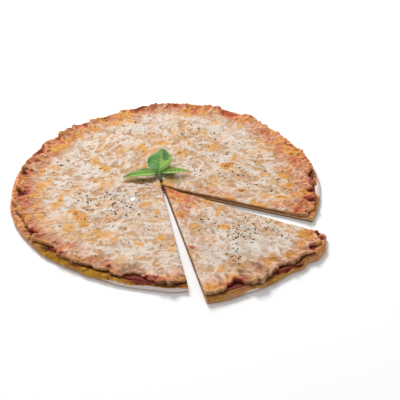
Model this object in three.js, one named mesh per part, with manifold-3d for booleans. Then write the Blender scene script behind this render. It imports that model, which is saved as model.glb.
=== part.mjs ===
// A thin margherita pizza with one slice cut free and drawn a little way out, and a sprig of basil on
// its middle.
//
// Both pieces of the pizza are stacks of three layers: a dough crust with a low uneven rim, tomato sauce,
// and melted cheese with flecks of dried herb baked onto it. Each layer is its own solid and runs through
// to the cuts. The sprig is three leaves round a short stem.
//
// Millimetres, +Z up. The origin is the centre of the pizza's flat underside, and -Y is towards the slice.

import * as THREE from "three";
import { mergeVertices } from "three/addons/utils/BufferGeometryUtils.js";
import Module from "manifold-3d";

const wasm = await Module();
wasm.setup();

// ---- Driving dimensions ---------------------------------------------------------------------

const PIZZA_RADIUS = 150.4;
const CUT_POINT = { x: -6.9, y: -0.2 }; // where the two cuts meet
const CUT_ANGLES = [-22.8, 277.9]; // the big piece runs anticlockwise from the first to the second, degrees
const SLICE_TIP = { x: -3.5, y: -3.4 };
const SLICE_ANGLES = [-78.9, -29.2];

const CRUST_FLOOR = 2.8; // dough under the sauce
const RIM_RISE = 2.8; // how far the rim stands above that floor
const RIM_CREST = 4; // distances in from the outer edge: the rim's highest line ...
const RIM_FOOT = 15; // ... and the line where it starts to rise
const SAUCE_THICKNESS = 0.8;
const CHEESE_THICKNESS = 2.1;
const LAYER_GAP = 0.3; // air between layers that touch

const TOPPING_INSET = 6.2; // how far the sauce stops short of the outer edge ...
const TOPPING_RAGGEDNESS = 2.2; // ... and how far its edge wanders either way
const CHEESE_OVERHANG = 0.7; // the cheese reaches this much further out than the sauce

const CHEESE_MESH = 6.6; // length of the triangles' sides on top of the cheese
const RIM_MESH = 5.4; // and along the rim

// The rim isn't a true circle: [lobes round it, height in mm, angle of the first lobe in degrees].
const RIM_WAVES = [
  [2, 1.85, 81],
  [3, 2.5, -59],
  [4, 0.87, 8],
  [5, 1.2, -2],
];

// Places where the rim has puffed up: [angle, half length along the edge, extra reach, extra height].
const RIM_PUFFS = [
  [90, 78, 2.2, 1.6],
  [99.5, 9, 1, 1.6],
  [193, 30, 0.5, 0.9],
  [12, 24, 0.6, 0.9],
];

// The slice's outer edge, anticlockwise: [angle, distance from its tip].
const SLICE_OUTLINE = [
  [-79, 169.4],
  [-68, 168.7],
  [-59.5, 169.1],
  [-51, 170.2],
  [-44, 172.7],
  [-40, 174.4],
  [-36, 173.2],
  [-29, 168],
];

// Bays in the cheese's edge, where bare sauce shows: [angle, half length along the edge, depth].
const PIZZA_BAYS = [
  [154, 9, 6],
  [142.5, 8, 7],
  [127.5, 7, 6],
  [116.6, 8, 5],
  [100.7, 13, 7],
  [86, 12, 7],
  [76.7, 9, 6],
  [62, 17, 10],
  [26.6, 11, 4],
  [4, 13, 9],
  [-7, 8, 5],
  [-13.5, 6, 8],
  [-22, 10, 5],
  [183.4, 11, 7],
  [169.7, 8, 6],
  [210.1, 10, 8],
  [221.6, 13, 4],
  [246.9, 10, 5],
  [257.8, 21, 9],
];
const SLICE_BAYS = [
  [-68, 15, 11],
  [-52, 11, 4],
  [-45.4, 9, 4],
  [-37.3, 7, 8],
  [-30, 6, 4],
];

// Where the herbs fell thickest: [x, y, spread, how many].
const HERB_PATCHES = [
  [-42, -21, 15, 16],
  [-76, -20, 11, 8],
  [-38, -46, 14, 6],
  [-96, 36, 14, 6],
  [-27, 106, 16, 8],
  [31, 97, 17, 9],
  [49, 56, 20, 7],
  [72, 26, 22, 10],
  [104, 2, 15, 7],
  [24, 24, 12, 3],
];
const SLICE_HERB_PATCHES = [
  [69, -80, 13, 16],
  [60, -111, 8, 5],
  [38, -58, 10, 4],
];
const HERB_LENGTH = 3.4; // the longest fleck
const HERB_WIDTH = 1.5;
const HERB_HEIGHT = 1.3;
const HERB_SEED = 11;

const SPRIG_JOINT = { x: -8.3, y: 15.2, height: 3.4 }; // where the leaves meet; height above the cheese
const STEM_RADIUS = 2;
const STEM_LENGTH = 13.6;
const STEM_RISE = 4; // degrees above level
const STEM_HEADING = 98; // the way the stem points, from its foot to the leaves
const LEAF_THICKNESS = 0.7;
const LEAF_START = 1.9; // how far from the joint a leaf begins

// widest: how far along a leaf its widest place is, as a share of its length; rise: how steeply it leaves
// the stem; bend: how far it has drooped by its tip; fold: how far each half is raised about the midrib;
// roll: how far the whole leaf leans over.
const LEAVES = {
  basil_leaf_back: {
    length: 37, width: 25.5, widest: 0.36, heading: 84,
    rise: 13.5, bend: 15, fold: 12, roll: -9.4,
  },
  basil_leaf_left: {
    length: 34.3, width: 12, widest: 0.37, heading: 188.5,
    rise: 9, bend: 20, fold: 14.5, roll: -2.7,
  },
  basil_leaf_right: {
    length: 28, width: 7.8, widest: 0.41, heading: 5,
    rise: 7, bend: 14, fold: 13, roll: 11,
  },
};

// ---- Small helpers --------------------------------------------------------------------------

const radians = (degrees) => (degrees * Math.PI) / 180;
const mix = (a, b, t) => a + (b - a) * t;
const clamp = (value, low, high) => Math.min(high, Math.max(low, value));
const ease = (t) => t * t * (3 - 2 * t);

function latticeValue(column, row, seed) {
  const scrambled = Math.sin(column * 127.1 + row * 311.7 + seed * 74.7) * 43758.5453;
  return 2 * (scrambled - Math.floor(scrambled)) - 1;
}

// Smooth noise from -1 to 1, with humps about one unit apart.
function noise(x, y, seed) {
  const column = Math.floor(x);
  const row = Math.floor(y);
  const across = ease(x - column);
  const along = ease(y - row);
  const near = mix(latticeValue(column, row, seed), latticeValue(column + 1, row, seed), across);
  const above = latticeValue(column, row + 1, seed);
  const far = mix(above, latticeValue(column + 1, row + 1, seed), across);
  return mix(near, far, along);
}

// A seeded source of numbers from 0 to 1.
function randomFrom(seed) {
  let state = seed;
  return () => {
    state = (state + 0x6d2b79f5) | 0;
    let mixed = Math.imul(state ^ (state >>> 15), 1 | state);
    mixed = (mixed + Math.imul(mixed ^ (mixed >>> 7), 61 | mixed)) ^ mixed;
    return ((mixed ^ (mixed >>> 14)) >>> 0) / 4294967296;
  };
}

// ---- The pizza's two pieces -----------------------------------------------------------------

// A piece is a sector about its tip. Its rim is measured from `middle`, by the direction seen from there.
const BIG_PIECE = {
  name: "pizza",
  tip: CUT_POINT,
  angles: CUT_ANGLES,
  middle: { x: 0, y: 0 },
  bays: PIZZA_BAYS,
};
const SLICE = {
  name: "slice",
  tip: SLICE_TIP,
  angles: SLICE_ANGLES,
  middle: SLICE_TIP,
  bays: SLICE_BAYS,
};

const directionFrom = (middle, x, y) => Math.atan2(y - middle.y, x - middle.x);

// 1 on a feature's middle line, falling to 0 where the rim is `halfLength` away from it.
function nearness(direction, angle, halfLength) {
  let turn = direction - radians(angle);
  turn -= 2 * Math.PI * Math.round(turn / (2 * Math.PI));
  return ease(clamp(1 - (Math.abs(turn) * PIZZA_RADIUS) / halfLength, 0, 1));
}

function sliceRadius(direction) {
  const degrees = clamp((direction * 180) / Math.PI, SLICE_OUTLINE[0][0], SLICE_OUTLINE.at(-1)[0]);
  const next = Math.max(1, SLICE_OUTLINE.findIndex(([angle]) => angle >= degrees));
  const [from, near] = SLICE_OUTLINE[next - 1];
  const [to, far] = SLICE_OUTLINE[next];
  const torn = 0.5 + 0.5 * ease(clamp((degrees + 60) / 20, 0, 1));
  return mix(near, far, ease((degrees - from) / (to - from))) + torn * 1.6 * noise(direction * 16, 8, 6);
}

function pizzaRadius(direction) {
  const waves = RIM_WAVES.map(
    ([lobes, height, first]) => height * Math.cos(lobes * (direction - radians(first))),
  );
  const puffs = RIM_PUFFS.map(
    ([angle, halfLength, reachOut]) => reachOut * nearness(direction, angle, halfLength),
  );
  const fray = 0.9 * noise(Math.cos(direction) * 11, Math.sin(direction) * 11, 6);
  return [...waves, ...puffs].reduce((sum, part) => sum + part, PIZZA_RADIUS + fray);
}

const rimRadius = (piece, direction) => (piece === SLICE ? sliceRadius(direction) : pizzaRadius(direction));

// How far a point is in from the outer edge of its piece.
function depthIn(piece, x, y) {
  const { middle } = piece;
  return rimRadius(piece, directionFrom(middle, x, y)) - Math.hypot(x - middle.x, y - middle.y);
}

function sauceInset(piece, direction) {
  const wander = noise(Math.cos(direction) * 9.3, Math.sin(direction) * 9.3, 21);
  return TOPPING_INSET + TOPPING_RAGGEDNESS * wander;
}

function cheeseInset(piece, direction) {
  const bays = piece.bays.map(([angle, halfLength, depth]) => depth * nearness(direction, angle, halfLength));
  return sauceInset(piece, direction) - CHEESE_OVERHANG + Math.max(...bays);
}

// Distance from a piece's tip, along a ray, to the line that lies `inset(direction)` in from the outer edge.
function reach(piece, ray, inset) {
  let distance = PIZZA_RADIUS;
  for (let round = 0; round < 8; round += 1) {
    const x = piece.tip.x + distance * Math.cos(ray);
    const y = piece.tip.y + distance * Math.sin(ray);
    distance += depthIn(piece, x, y) - inset(piece, directionFrom(piece.middle, x, y));
  }
  return distance;
}

// ---- Heights of the layers ------------------------------------------------------------------

function crustTop(piece, x, y) {
  const direction = directionFrom(piece.middle, x, y);
  const climb = clamp((RIM_FOOT - depthIn(piece, x, y)) / (RIM_FOOT - RIM_CREST), 0, 1);
  const unevenness = 1 + 0.25 * noise(x / 34, y / 34, 2);
  const puffs = RIM_PUFFS.map(
    ([angle, halfLength, , lift]) => lift * nearness(direction, angle, halfLength),
  );
  const rise = RIM_RISE * unevenness + (piece === SLICE ? 0 : Math.max(...puffs));
  return CRUST_FLOOR + rise * climb * climb;
}

const sauceBottom = (piece, x, y) => crustTop(piece, x, y) + LAYER_GAP;
const sauceTop = (piece, x, y) => sauceBottom(piece, x, y) + SAUCE_THICKNESS;
const cheeseBottom = (piece, x, y) => sauceTop(piece, x, y) + LAYER_GAP;

function cheeseTop(piece, x, y) {
  const nearRim = clamp(1 - depthIn(piece, x, y) / 34, 0, 1);
  const swells = 0.4 * noise(x / 46, y / 46, 7) + 0.5 * noise(x / 19, y / 19, 8);
  const lumps = (0.35 + 0.45 * nearRim) * noise(x / 9, y / 9, 9);
  return cheeseBottom(piece, x, y) + CHEESE_THICKNESS + swells + lumps + 0.7 * ease(nearRim);
}

// ---- Layers as solids -----------------------------------------------------------------------

// A ring is one row of a layer's points, from one cut round to the other. `share` is how far out it lies,
// as a part of the way from the tip to the layer's edge; `back` then takes it in by that many millimetres.
function ringPoints(piece, ring, edge) {
  if (ring.share === 0) return [[piece.tip.x, piece.tip.y, ring.height(piece.tip.x, piece.tip.y), 0]];
  const [from, to] = piece.angles.map(radians);
  const arc = PIZZA_RADIUS * ring.share * (to - from);
  const steps = Math.max(3, Math.round(arc / ring.spacing));
  return Array.from({ length: steps + 1 }, (_, step) => {
    const ray = mix(from, to, step / steps);
    const distance = reach(piece, ray, edge) * ring.share - ring.back;
    const x = piece.tip.x + distance * Math.cos(ray);
    const y = piece.tip.y + distance * Math.sin(ray);
    return [x, y, ring.height(x, y), distance];
  });
}

// The triangles between two neighbouring rings, given as lists of point numbers of any two lengths.
function stitch(first, second) {
  const triangles = [];
  let i = 0;
  let j = 0;
  while (i < first.length - 1 || j < second.length - 1) {
    const firstNext = first.length > 1 ? (i + 1) / (first.length - 1) : Infinity;
    const secondNext = second.length > 1 ? (j + 1) / (second.length - 1) : Infinity;
    if (j < second.length - 1 && (secondNext <= firstNext || i === first.length - 1)) {
      triangles.push(first[i], second[j], second[j + 1]);
      j += 1;
    } else {
      triangles.push(first[i], second[j], first[i + 1]);
      i += 1;
    }
  }
  return triangles;
}

// The flat face of a layer at one cut: the outline that the rings' end points make there.
function cutFace(numbers, points, facesBack) {
  const outline = numbers.map((number) => new THREE.Vector2(points[number][3], points[number][2]));
  return THREE.ShapeUtils.triangulateShape(outline, []).flatMap(([a, b, c]) => {
    const [p, q, r] = [outline[a], outline[b], outline[c]];
    const turnsLeft = (q.x - p.x) * (r.y - p.y) - (q.y - p.y) * (r.x - p.x) > 0;
    return (turnsLeft === facesBack ? [a, b, c] : [a, c, b]).map((corner) => numbers[corner]);
  });
}

// A closed layer from its rings, which run out over the top, down the edge and back in underneath.
function layerGeometry(piece, rings, edge) {
  const points = [];
  const numbered = rings.map((ring) =>
    ringPoints(piece, ring, edge).map((point) => {
      points.push(point);
      return points.length - 1;
    }),
  );
  const index = numbered.slice(1).flatMap((ring, before) => stitch(numbered[before], ring));
  const starts = numbered.map((ring) => ring[0]);
  const ends = numbered.map((ring) => ring[ring.length - 1]);
  index.push(...cutFace(starts, points, true), ...cutFace(ends, points, false));
  const geometry = new THREE.BufferGeometry();
  const coordinates = points.flatMap(([x, y, z]) => [x, y, z]);
  geometry.setAttribute("position", new THREE.Float32BufferAttribute(coordinates, 3));
  geometry.setIndex(index);
  return geometry;
}

// One ring: where it lies, how far apart its points are, and the height at each of them.
const ring = (share, back, spacing, height) => ({ share, back, spacing, height });

function crustGeometry(piece) {
  const noInset = () => 0;
  const top = (x, y) => crustTop(piece, x, y);
  const level = (share) => (x, y) => share * top(x, y);
  const coarse = RIM_MESH * 1.9;
  return layerGeometry(
    piece,
    [
      ring(0, 0, coarse, top),
      ring(1, RIM_FOOT, coarse, top),
      ring(1, (RIM_FOOT + RIM_CREST) / 2, RIM_MESH, top),
      ring(1, RIM_CREST, RIM_MESH, top),
      ring(1, 1.6, RIM_MESH, level(0.92)),
      ring(1, 0.3, RIM_MESH, level(0.68)),
      ring(1, 0, RIM_MESH, level(0.42)),
      ring(1, 0.8, RIM_MESH, level(0.14)),
      ring(1, 2.8, coarse, () => 0),
      ring(0, 0, coarse, () => 0),
    ],
    noInset,
  );
}

function sauceGeometry(piece) {
  const top = (x, y) => sauceTop(piece, x, y);
  const bottom = (x, y) => sauceBottom(piece, x, y);
  const thinned = (x, y) => bottom(x, y) + SAUCE_THICKNESS / 2;
  const coarse = RIM_MESH * 1.9;
  const toFoot = RIM_FOOT - TOPPING_INSET + TOPPING_RAGGEDNESS;
  return layerGeometry(
    piece,
    [
      ring(0, 0, coarse, top),
      ring(1, toFoot, coarse, top),
      ring(1, toFoot / 2, RIM_MESH, top),
      ring(1, 1.6, RIM_MESH, top),
      ring(1, 0, RIM_MESH, thinned),
      ring(1, 0.6, RIM_MESH, bottom),
      ring(1, toFoot / 2, RIM_MESH, bottom),
      ring(1, toFoot, coarse, bottom),
      ring(0, 0, coarse, bottom),
    ],
    sauceInset,
  );
}

function cheeseGeometry(piece) {
  const top = (x, y) => cheeseTop(piece, x, y);
  const bottom = (x, y) => cheeseBottom(piece, x, y);
  const sunk = (share) => (x, y) => mix(bottom(x, y), top(x, y), share);
  const rows = Math.round(PIZZA_RADIUS / CHEESE_MESH);
  const inner = Array.from({ length: rows - 1 }, (_, row) => ring(row / rows, 0, CHEESE_MESH, top));
  const coarse = CHEESE_MESH * 1.5;
  return layerGeometry(
    piece,
    [
      ...inner,
      ring(1, 5.5, CHEESE_MESH, top),
      ring(1, 2.2, RIM_MESH, sunk(0.94)),
      ring(1, 0.5, RIM_MESH, sunk(0.66)),
      ring(1, 0, RIM_MESH, sunk(0.3)),
      ring(1, 0.8, RIM_MESH, bottom),
      ring(1, 6, coarse, bottom),
      ring(1, 13, coarse * 1.5, bottom),
      ring(0, 0, coarse, bottom),
    ],
    cheeseInset,
  );
}

// ---- Herb flecks, fused to the cheese -------------------------------------------------------

const solidOf = (geometry) => {
  const bare = geometry.clone().deleteAttribute("normal").deleteAttribute("uv");
  const merged = mergeVertices(bare, 1e-4);
  return new wasm.Manifold(
    new wasm.Mesh({
      numProp: 3,
      vertProperties: new Float32Array(merged.attributes.position.array),
      triVerts: new Uint32Array(merged.index.array),
    }),
  );
};

function geometryOf(solid) {
  const { vertProperties, triVerts } = solid.getMesh();
  const geometry = new THREE.BufferGeometry();
  geometry.setAttribute("position", new THREE.BufferAttribute(vertProperties, 3));
  return geometry.setIndex(new THREE.BufferAttribute(triVerts, 1));
}

// Flecks stay on the cheese, off its cut edges and clear of the sprig.
function isFreeSpot(piece, x, y) {
  const [from, to] = piece.angles.map(radians);
  const distance = Math.hypot(x - piece.tip.x, y - piece.tip.y);
  let turn = Math.atan2(y - piece.tip.y, x - piece.tip.x) - from;
  turn -= 2 * Math.PI * Math.floor(turn / (2 * Math.PI));
  const margin = 3 / distance;
  const insideCuts = turn > margin && turn < to - from - margin;
  const clearOfSprig = Math.hypot(x - SPRIG_JOINT.x, (y - SPRIG_JOINT.y - 6) * 1.3) > 34;
  return insideCuts && clearOfSprig && depthIn(piece, x, y) > 24;
}

function fleckGeometry(random, x, y, z) {
  const size = mix(0.6, 1, random());
  return new THREE.OctahedronGeometry(1)
    .scale((HERB_LENGTH / 2) * size, (HERB_WIDTH / 2) * size, (HERB_HEIGHT / 2) * size)
    .rotateZ(random() * Math.PI)
    .translate(x, y, z + 0.1);
}

function herbedCheese(piece, patches) {
  const random = randomFrom(HERB_SEED);
  const spots = [];
  for (const [x, y, spread, count] of patches) {
    for (let drawn = 0; drawn < count; drawn += 1) {
      const turn = random() * 2 * Math.PI;
      const distance = spread * Math.sqrt(-Math.log(1 - 0.95 * random()));
      spots.push([x + distance * Math.cos(turn), y + distance * Math.sin(turn)]);
    }
  }
  const flecks = spots
    .filter(([x, y]) => isFreeSpot(piece, x, y))
    .map(([x, y]) => solidOf(fleckGeometry(random, x, y, cheeseTop(piece, x, y))));
  return geometryOf(flecks.reduce((joined, fleck) => joined.add(fleck), solidOf(cheeseGeometry(piece))));
}

// ---- The basil sprig ------------------------------------------------------------------------

// A point of a leaf before it is turned to its heading: `along` from 0 at the stalk to 1 at the tip, `side`
// from -1 to 1 across, and `drop` below the upper face.
function leafPoint(leaf, along, side, drop) {
  const rise = radians(leaf.rise);
  const bend = radians(leaf.bend);
  const slope = rise - bend * along;
  const forward = LEAF_START + (leaf.length * (Math.sin(rise) - Math.sin(slope))) / bend;
  const up = (leaf.length * (Math.cos(slope) - Math.cos(rise))) / bend;
  const blade = Math.sin(Math.PI * Math.pow(along, Math.log(0.5) / Math.log(leaf.widest)));
  const halfWidth = Math.max(0.7, (leaf.width / 2) * blade);
  const fold = radians(leaf.fold);
  const ruffle = 0.05 * leaf.width * side * side * Math.sin(along * 11 + side * 2) * blade;
  const across = halfWidth * side * Math.cos(fold);
  const lift = halfWidth * Math.abs(side) * Math.sin(fold) + ruffle - drop;
  const roll = radians(leaf.roll);
  const rolledAcross = across * Math.cos(roll) - lift * Math.sin(roll);
  const rolledLift = across * Math.sin(roll) + lift * Math.cos(roll);
  return [forward - rolledLift * Math.sin(slope), rolledAcross, up + rolledLift * Math.cos(slope)];
}

function leafGeometry(leaf) {
  const lengthSteps = 14;
  const widthSteps = 6;
  const perFace = (lengthSteps + 1) * (widthSteps + 1);
  const number = (face, step, place) => face * perFace + step * (widthSteps + 1) + place;
  const points = [0, LEAF_THICKNESS].flatMap((drop) =>
    Array.from({ length: perFace }, (_, count) => {
      const step = Math.floor(count / (widthSteps + 1));
      const place = count % (widthSteps + 1);
      return leafPoint(leaf, step / lengthSteps, (2 * place) / widthSteps - 1, drop);
    }),
  );
  const index = [];
  const quad = (a, b, c, d) => index.push(a, b, c, a, c, d);
  for (let step = 0; step < lengthSteps; step += 1) {
    for (let place = 0; place < widthSteps; place += 1) {
      const [a, b, c, d] = [[0, 0], [1, 0], [1, 1], [0, 1]].map(([i, j]) => number(0, step + i, place + j));
      quad(a, b, c, d);
      index.push(a + perFace, c + perFace, b + perFace, a + perFace, d + perFace, c + perFace);
    }
    quad(number(0, step, 0), number(1, step, 0), number(1, step + 1, 0), number(0, step + 1, 0));
    const last = widthSteps;
    quad(number(0, step + 1, last), number(1, step + 1, last), number(1, step, last), number(0, step, last));
  }
  for (let place = 0; place < widthSteps; place += 1) {
    const end = lengthSteps;
    const next = place + 1;
    quad(number(0, 0, next), number(1, 0, next), number(1, 0, place), number(0, 0, place));
    quad(number(0, end, place), number(1, end, place), number(1, end, next), number(0, end, next));
  }
  const geometry = new THREE.BufferGeometry();
  geometry.setAttribute("position", new THREE.Float32BufferAttribute(points.flat(), 3));
  geometry.setIndex(index);
  return geometry;
}

// The stub of stem along +X, thickest near the leaves. It ends at the origin, where they spring from it.
function stemGeometry() {
  const profile = [
    [0, 0],
    [0.7, 0],
    [0.75, 0.3],
    [0.9, 0.7],
    [1, 0.82],
    [0.75, 0.91],
    [0.4, 0.97],
    [0, 1],
  ].map(([width, share]) => new THREE.Vector2(width * STEM_RADIUS, share * STEM_LENGTH));
  return new THREE.LatheGeometry(profile, 12).translate(0, -STEM_LENGTH, 0).rotateZ(-Math.PI / 2);
}

// ---- Materials and the finished group -------------------------------------------------------

const finish = (color, roughness) => new THREE.MeshStandardMaterial({ color, roughness, metalness: 0 });
const dough = finish(0xdcb07c, 0.8);
const sauce = finish(0x9c3a20, 0.4);
const cheese = finish(0xe6cda4, 0.45);
const leafGreen = finish(0x5b8f45, 0.5);
const stemGreen = finish(0x6d8a4a, 0.6);

function namedMesh(name, geometry, material) {
  const mesh = new THREE.Mesh(geometry, material);
  mesh.name = name;
  return mesh;
}

const pizza = new THREE.Group();
for (const [piece, patches] of [[BIG_PIECE, HERB_PATCHES], [SLICE, SLICE_HERB_PATCHES]]) {
  pizza.add(
    namedMesh(`${piece.name}_crust`, crustGeometry(piece), dough),
    namedMesh(`${piece.name}_sauce`, sauceGeometry(piece), sauce),
    namedMesh(`${piece.name}_cheese`, herbedCheese(piece, patches), cheese),
  );
}

const sprig = new THREE.Group();
const jointHeight = cheeseTop(BIG_PIECE, SPRIG_JOINT.x, SPRIG_JOINT.y) + SPRIG_JOINT.height;
sprig.position.set(SPRIG_JOINT.x, SPRIG_JOINT.y, jointHeight);
for (const [name, leaf] of Object.entries(LEAVES)) {
  const mesh = namedMesh(name, leafGeometry(leaf), leafGreen);
  mesh.rotation.z = radians(leaf.heading);
  sprig.add(mesh);
}
const stem = namedMesh("basil_stem", stemGeometry(), stemGreen);
stem.rotation.set(0, radians(-STEM_RISE), radians(STEM_HEADING), "ZYX");
sprig.add(stem);
pizza.add(sprig);

export default pizza;
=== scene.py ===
"""A thin margherita pizza, dressed: baked crusts, tomato sauce, melted cheese, dried herbs and a sprig of basil.

Sizes in the tables below are millimetres, from the middle of the pizza's flat underside. Angles are degrees.
"""

import math

import bpy
import numpy as np
from mathutils import Matrix, Vector


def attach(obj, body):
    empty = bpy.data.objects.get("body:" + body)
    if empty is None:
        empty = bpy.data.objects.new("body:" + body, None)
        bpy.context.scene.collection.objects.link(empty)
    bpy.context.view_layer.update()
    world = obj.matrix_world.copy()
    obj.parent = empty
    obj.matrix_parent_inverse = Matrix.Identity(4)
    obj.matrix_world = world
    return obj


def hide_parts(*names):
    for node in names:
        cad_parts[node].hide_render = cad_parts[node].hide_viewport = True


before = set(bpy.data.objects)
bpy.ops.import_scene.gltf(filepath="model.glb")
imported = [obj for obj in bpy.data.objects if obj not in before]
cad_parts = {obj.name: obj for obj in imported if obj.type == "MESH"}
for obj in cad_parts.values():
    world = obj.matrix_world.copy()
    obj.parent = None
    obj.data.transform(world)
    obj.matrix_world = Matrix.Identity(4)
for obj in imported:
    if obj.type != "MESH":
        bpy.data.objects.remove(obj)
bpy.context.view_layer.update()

MM = 0.001

# ---- The baker's sizes ----------------------------------------------------------------------------------------

PIZZA_RADIUS = 150.4
CUT_POINT = (-6.9, -0.2)
CUT_ANGLES = (-22.8, 277.9)
SLICE_TIP = (-3.5, -3.4)
SLICE_ANGLES = (-78.9, -29.2)

CRUST_FLOOR = 2.8
RIM_RISE = 2.8
RIM_CREST = 4
RIM_FOOT = 15
SAUCE_THICKNESS = 0.8
CHEESE_THICKNESS = 2.1
LAYER_GAP = 0.3
TOPPING_INSET = 6.2
TOPPING_RAGGEDNESS = 2.2
CHEESE_OVERHANG = 0.7
CHEESE_SPREAD = 1.7  # how much nearer to the edge the melted lip comes than the plain solid

# [lobes round the rim, height, angle of the first lobe]
RIM_WAVES = [(2, 1.85, 81), (3, 2.5, -59), (4, 0.87, 8), (5, 1.2, -2)]
# [angle, half length along the edge, extra reach, extra height]
RIM_PUFFS = [(90, 78, 2.2, 1.6), (99.5, 9, 1, 1.6), (193, 30, 0.5, 0.9), (12, 24, 0.6, 0.9)]
BARE_EDGE = (-5, 24)  # angle and half length of the stretch that the cheese leaves barest
BARE_DEPTH = 4
# [angle, distance from the slice's tip]
SLICE_OUTLINE = [
    (-79, 169.4), (-68, 168.7), (-59.5, 169.1), (-51, 170.2), (-44, 172.7), (-40, 174.4), (-36, 173.2), (-29, 168),
]
# [angle, half length along the edge, depth]
PIZZA_BAYS = [
    (154, 9, 6), (142.5, 8, 7), (127.5, 7, 6), (116.6, 8, 5), (100.7, 13, 7), (86, 12, 7), (76.7, 9, 6),
    (62, 17, 10), (26.6, 11, 4), (4, 13, 9), (-7, 8, 5), (-13.5, 6, 8), (-22, 10, 5), (183.4, 11, 7), (169.7, 8, 6),
    (210.1, 10, 8), (221.6, 13, 4), (246.9, 10, 5), (257.8, 21, 9),
]
SLICE_BAYS = [(-68, 15, 11), (-52, 11, 4), (-45.4, 9, 4), (-37.3, 7, 8), (-30, 6, 4)]

# [x, y, spread, how many]
HERB_PATCHES = [
    (-42, -21, 15, 16), (-76, -20, 11, 8), (-38, -46, 14, 6), (-96, 36, 14, 6), (-27, 106, 16, 8), (31, 97, 17, 9),
    (49, 56, 20, 7), (72, 26, 22, 10), (104, 2, 15, 7), (24, 24, 12, 3),
]
SLICE_HERB_PATCHES = [(69, -80, 13, 16), (60, -111, 8, 5), (38, -58, 10, 4)]
# Crumbs of herb on the slice that are too fine for the solid.
SLICE_CRUMB_PATCHES = [(84, -72, 12, 14), (97, -66, 8, 5), (30, -68, 9, 4), (56, -84, 16, 6)]
HERB_LENGTH = 3.4
HERB_WIDTH = 1.5
HERB_HEIGHT = 1.3
HERB_SEED = 11

SPRIG_JOINT = (-8.3, 15.2, 3.4)
STEM_RADIUS = 2
STEM_LENGTH = 13.6
STEM_RISE = 4
STEM_HEADING = 98
LEAF_START = 1.2  # a little nearer to the joint than the plain solids begin
LEAF_THICKNESS = 0.5
LEAVES = {
    "basil_leaf_back": dict(length=37, width=25.5, widest=0.36, heading=84, rise=13.5, bend=15, fold=12, roll=-9.4),
    "basil_leaf_left": dict(length=34.3, width=12, widest=0.37, heading=188.5, rise=9, bend=20, fold=14.5, roll=-2.7),
    "basil_leaf_right": dict(length=28, width=7.8, widest=0.41, heading=5, rise=7, bend=14, fold=13, roll=11),
}

# ---- Marks that baking left: [x, y, half length, half width, heading, strength] ------------------------------

TOASTED_SPOTS = [
    (-75, 106, 6, 5, 90, 1.0), (-66, 121, 7, 4, 0, 0.9), (-52, 115, 6, 6, 0, 0.75), (-45, 130, 14, 6, 10, 0.8),
    (-37, 118, 5, 5, 0, 0.7), (-86, 102, 5, 5, 0, 0.6), (-100, 81, 8, 4, 90, 0.9), (-92, 92, 10, 4, -55, 0.75),
    (-110, 71, 10, 8, 0, 0.7), (-72, 45, 7, 3.5, 100, 1.0), (-62, 31, 6, 5, 0, 0.8), (-24, 69, 10, 4, 90, 0.6),
    (-46, 61, 5, 2, -10, 0.7), (-110, 33, 6, 4, 0, 0.6), (-123, 29, 6, 3, 90, 0.9), (-12, 61, 5, 2, 50, 0.9),
    (-22, 33, 6, 3, 80, 0.9), (22, 137, 5, 3, 0, 0.9), (41, 130, 6, 4, 0, 0.9), (23, 127, 7, 4, 0, 0.6),
    (85, 113, 5, 4, 90, 0.8), (76, 102, 5, 4, 60, 0.7), (120, 75, 6, 4, -60, 0.8), (126, 50, 10, 7, -60, 0.7),
    (24, 73, 6, 3.2, 90, 1.0), (14, 56, 5, 3.5, 90, 1.0), (-3, 75, 9, 4, 0, 0.55), (47, 64, 9, 5, 70, 0.6),
    (60, 30, 7, 6, 0, 1.1), (68, 42, 6, 1.8, 60, 0.9), (94, 12, 5, 1.8, 45, 0.8), (112, 10, 6, 4, 90, 0.6),
    (110, 68, 5, 3, 90, 0.7), (98, 72, 4, 4, 0, 0.5), (52, 110, 6, 5, 0, 0.5), (38, 92, 6, 3, 80, 0.5),
    (-124, -28, 8, 3, 70, 0.9), (-122, 3, 8, 6, 90, 0.7), (-128, -12, 6, 4, 45, 0.7), (-133, -46, 9, 3, 85, 1.0),
    (-119, -46, 9, 4, 110, 0.8), (-89, -39, 6, 4, -30, 1.0), (-82, -50, 10, 5.5, -60, 1.0),
    (-79, -60, 5, 4, 0, 1.0), (-105, -27, 8, 6, 0, 0.55), (-102, -19, 5, 2, 80, 0.8), (-92, -66, 7, 6, 0, 0.55),
    (-118, -85, 9, 4, 10, 0.9), (-85, -112, 8, 4.5, -30, 0.95), (-55, -133, 11, 7, -20, 0.85),
    (-8, -141, 5, 2.5, 0, 0.8), (-7, -84, 6, 3.5, 90, 0.9), (-28, -91, 6, 4, 0, 0.6), (-22, -33, 6, 4, 45, 0.75),
    (-50, -83, 5, 3, 60, 0.7), (-11, -44, 4, 3, 90, 0.6), (72, -13, 5, 3.5, 0, 1.1), (108, -26, 10, 3, -15, 0.9),
    (117, -8, 6, 4, 90, 0.7), (93, -24, 6, 4, 0, 0.5), (133, -19, 9, 6, 0, 1.0), (-64, -1, 7, 2.5, 80, 0.6),
    (-115, 11, 7, 3, 60, 0.7), (10, -143, 9, 4, 10, 0.6),
]
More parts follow.
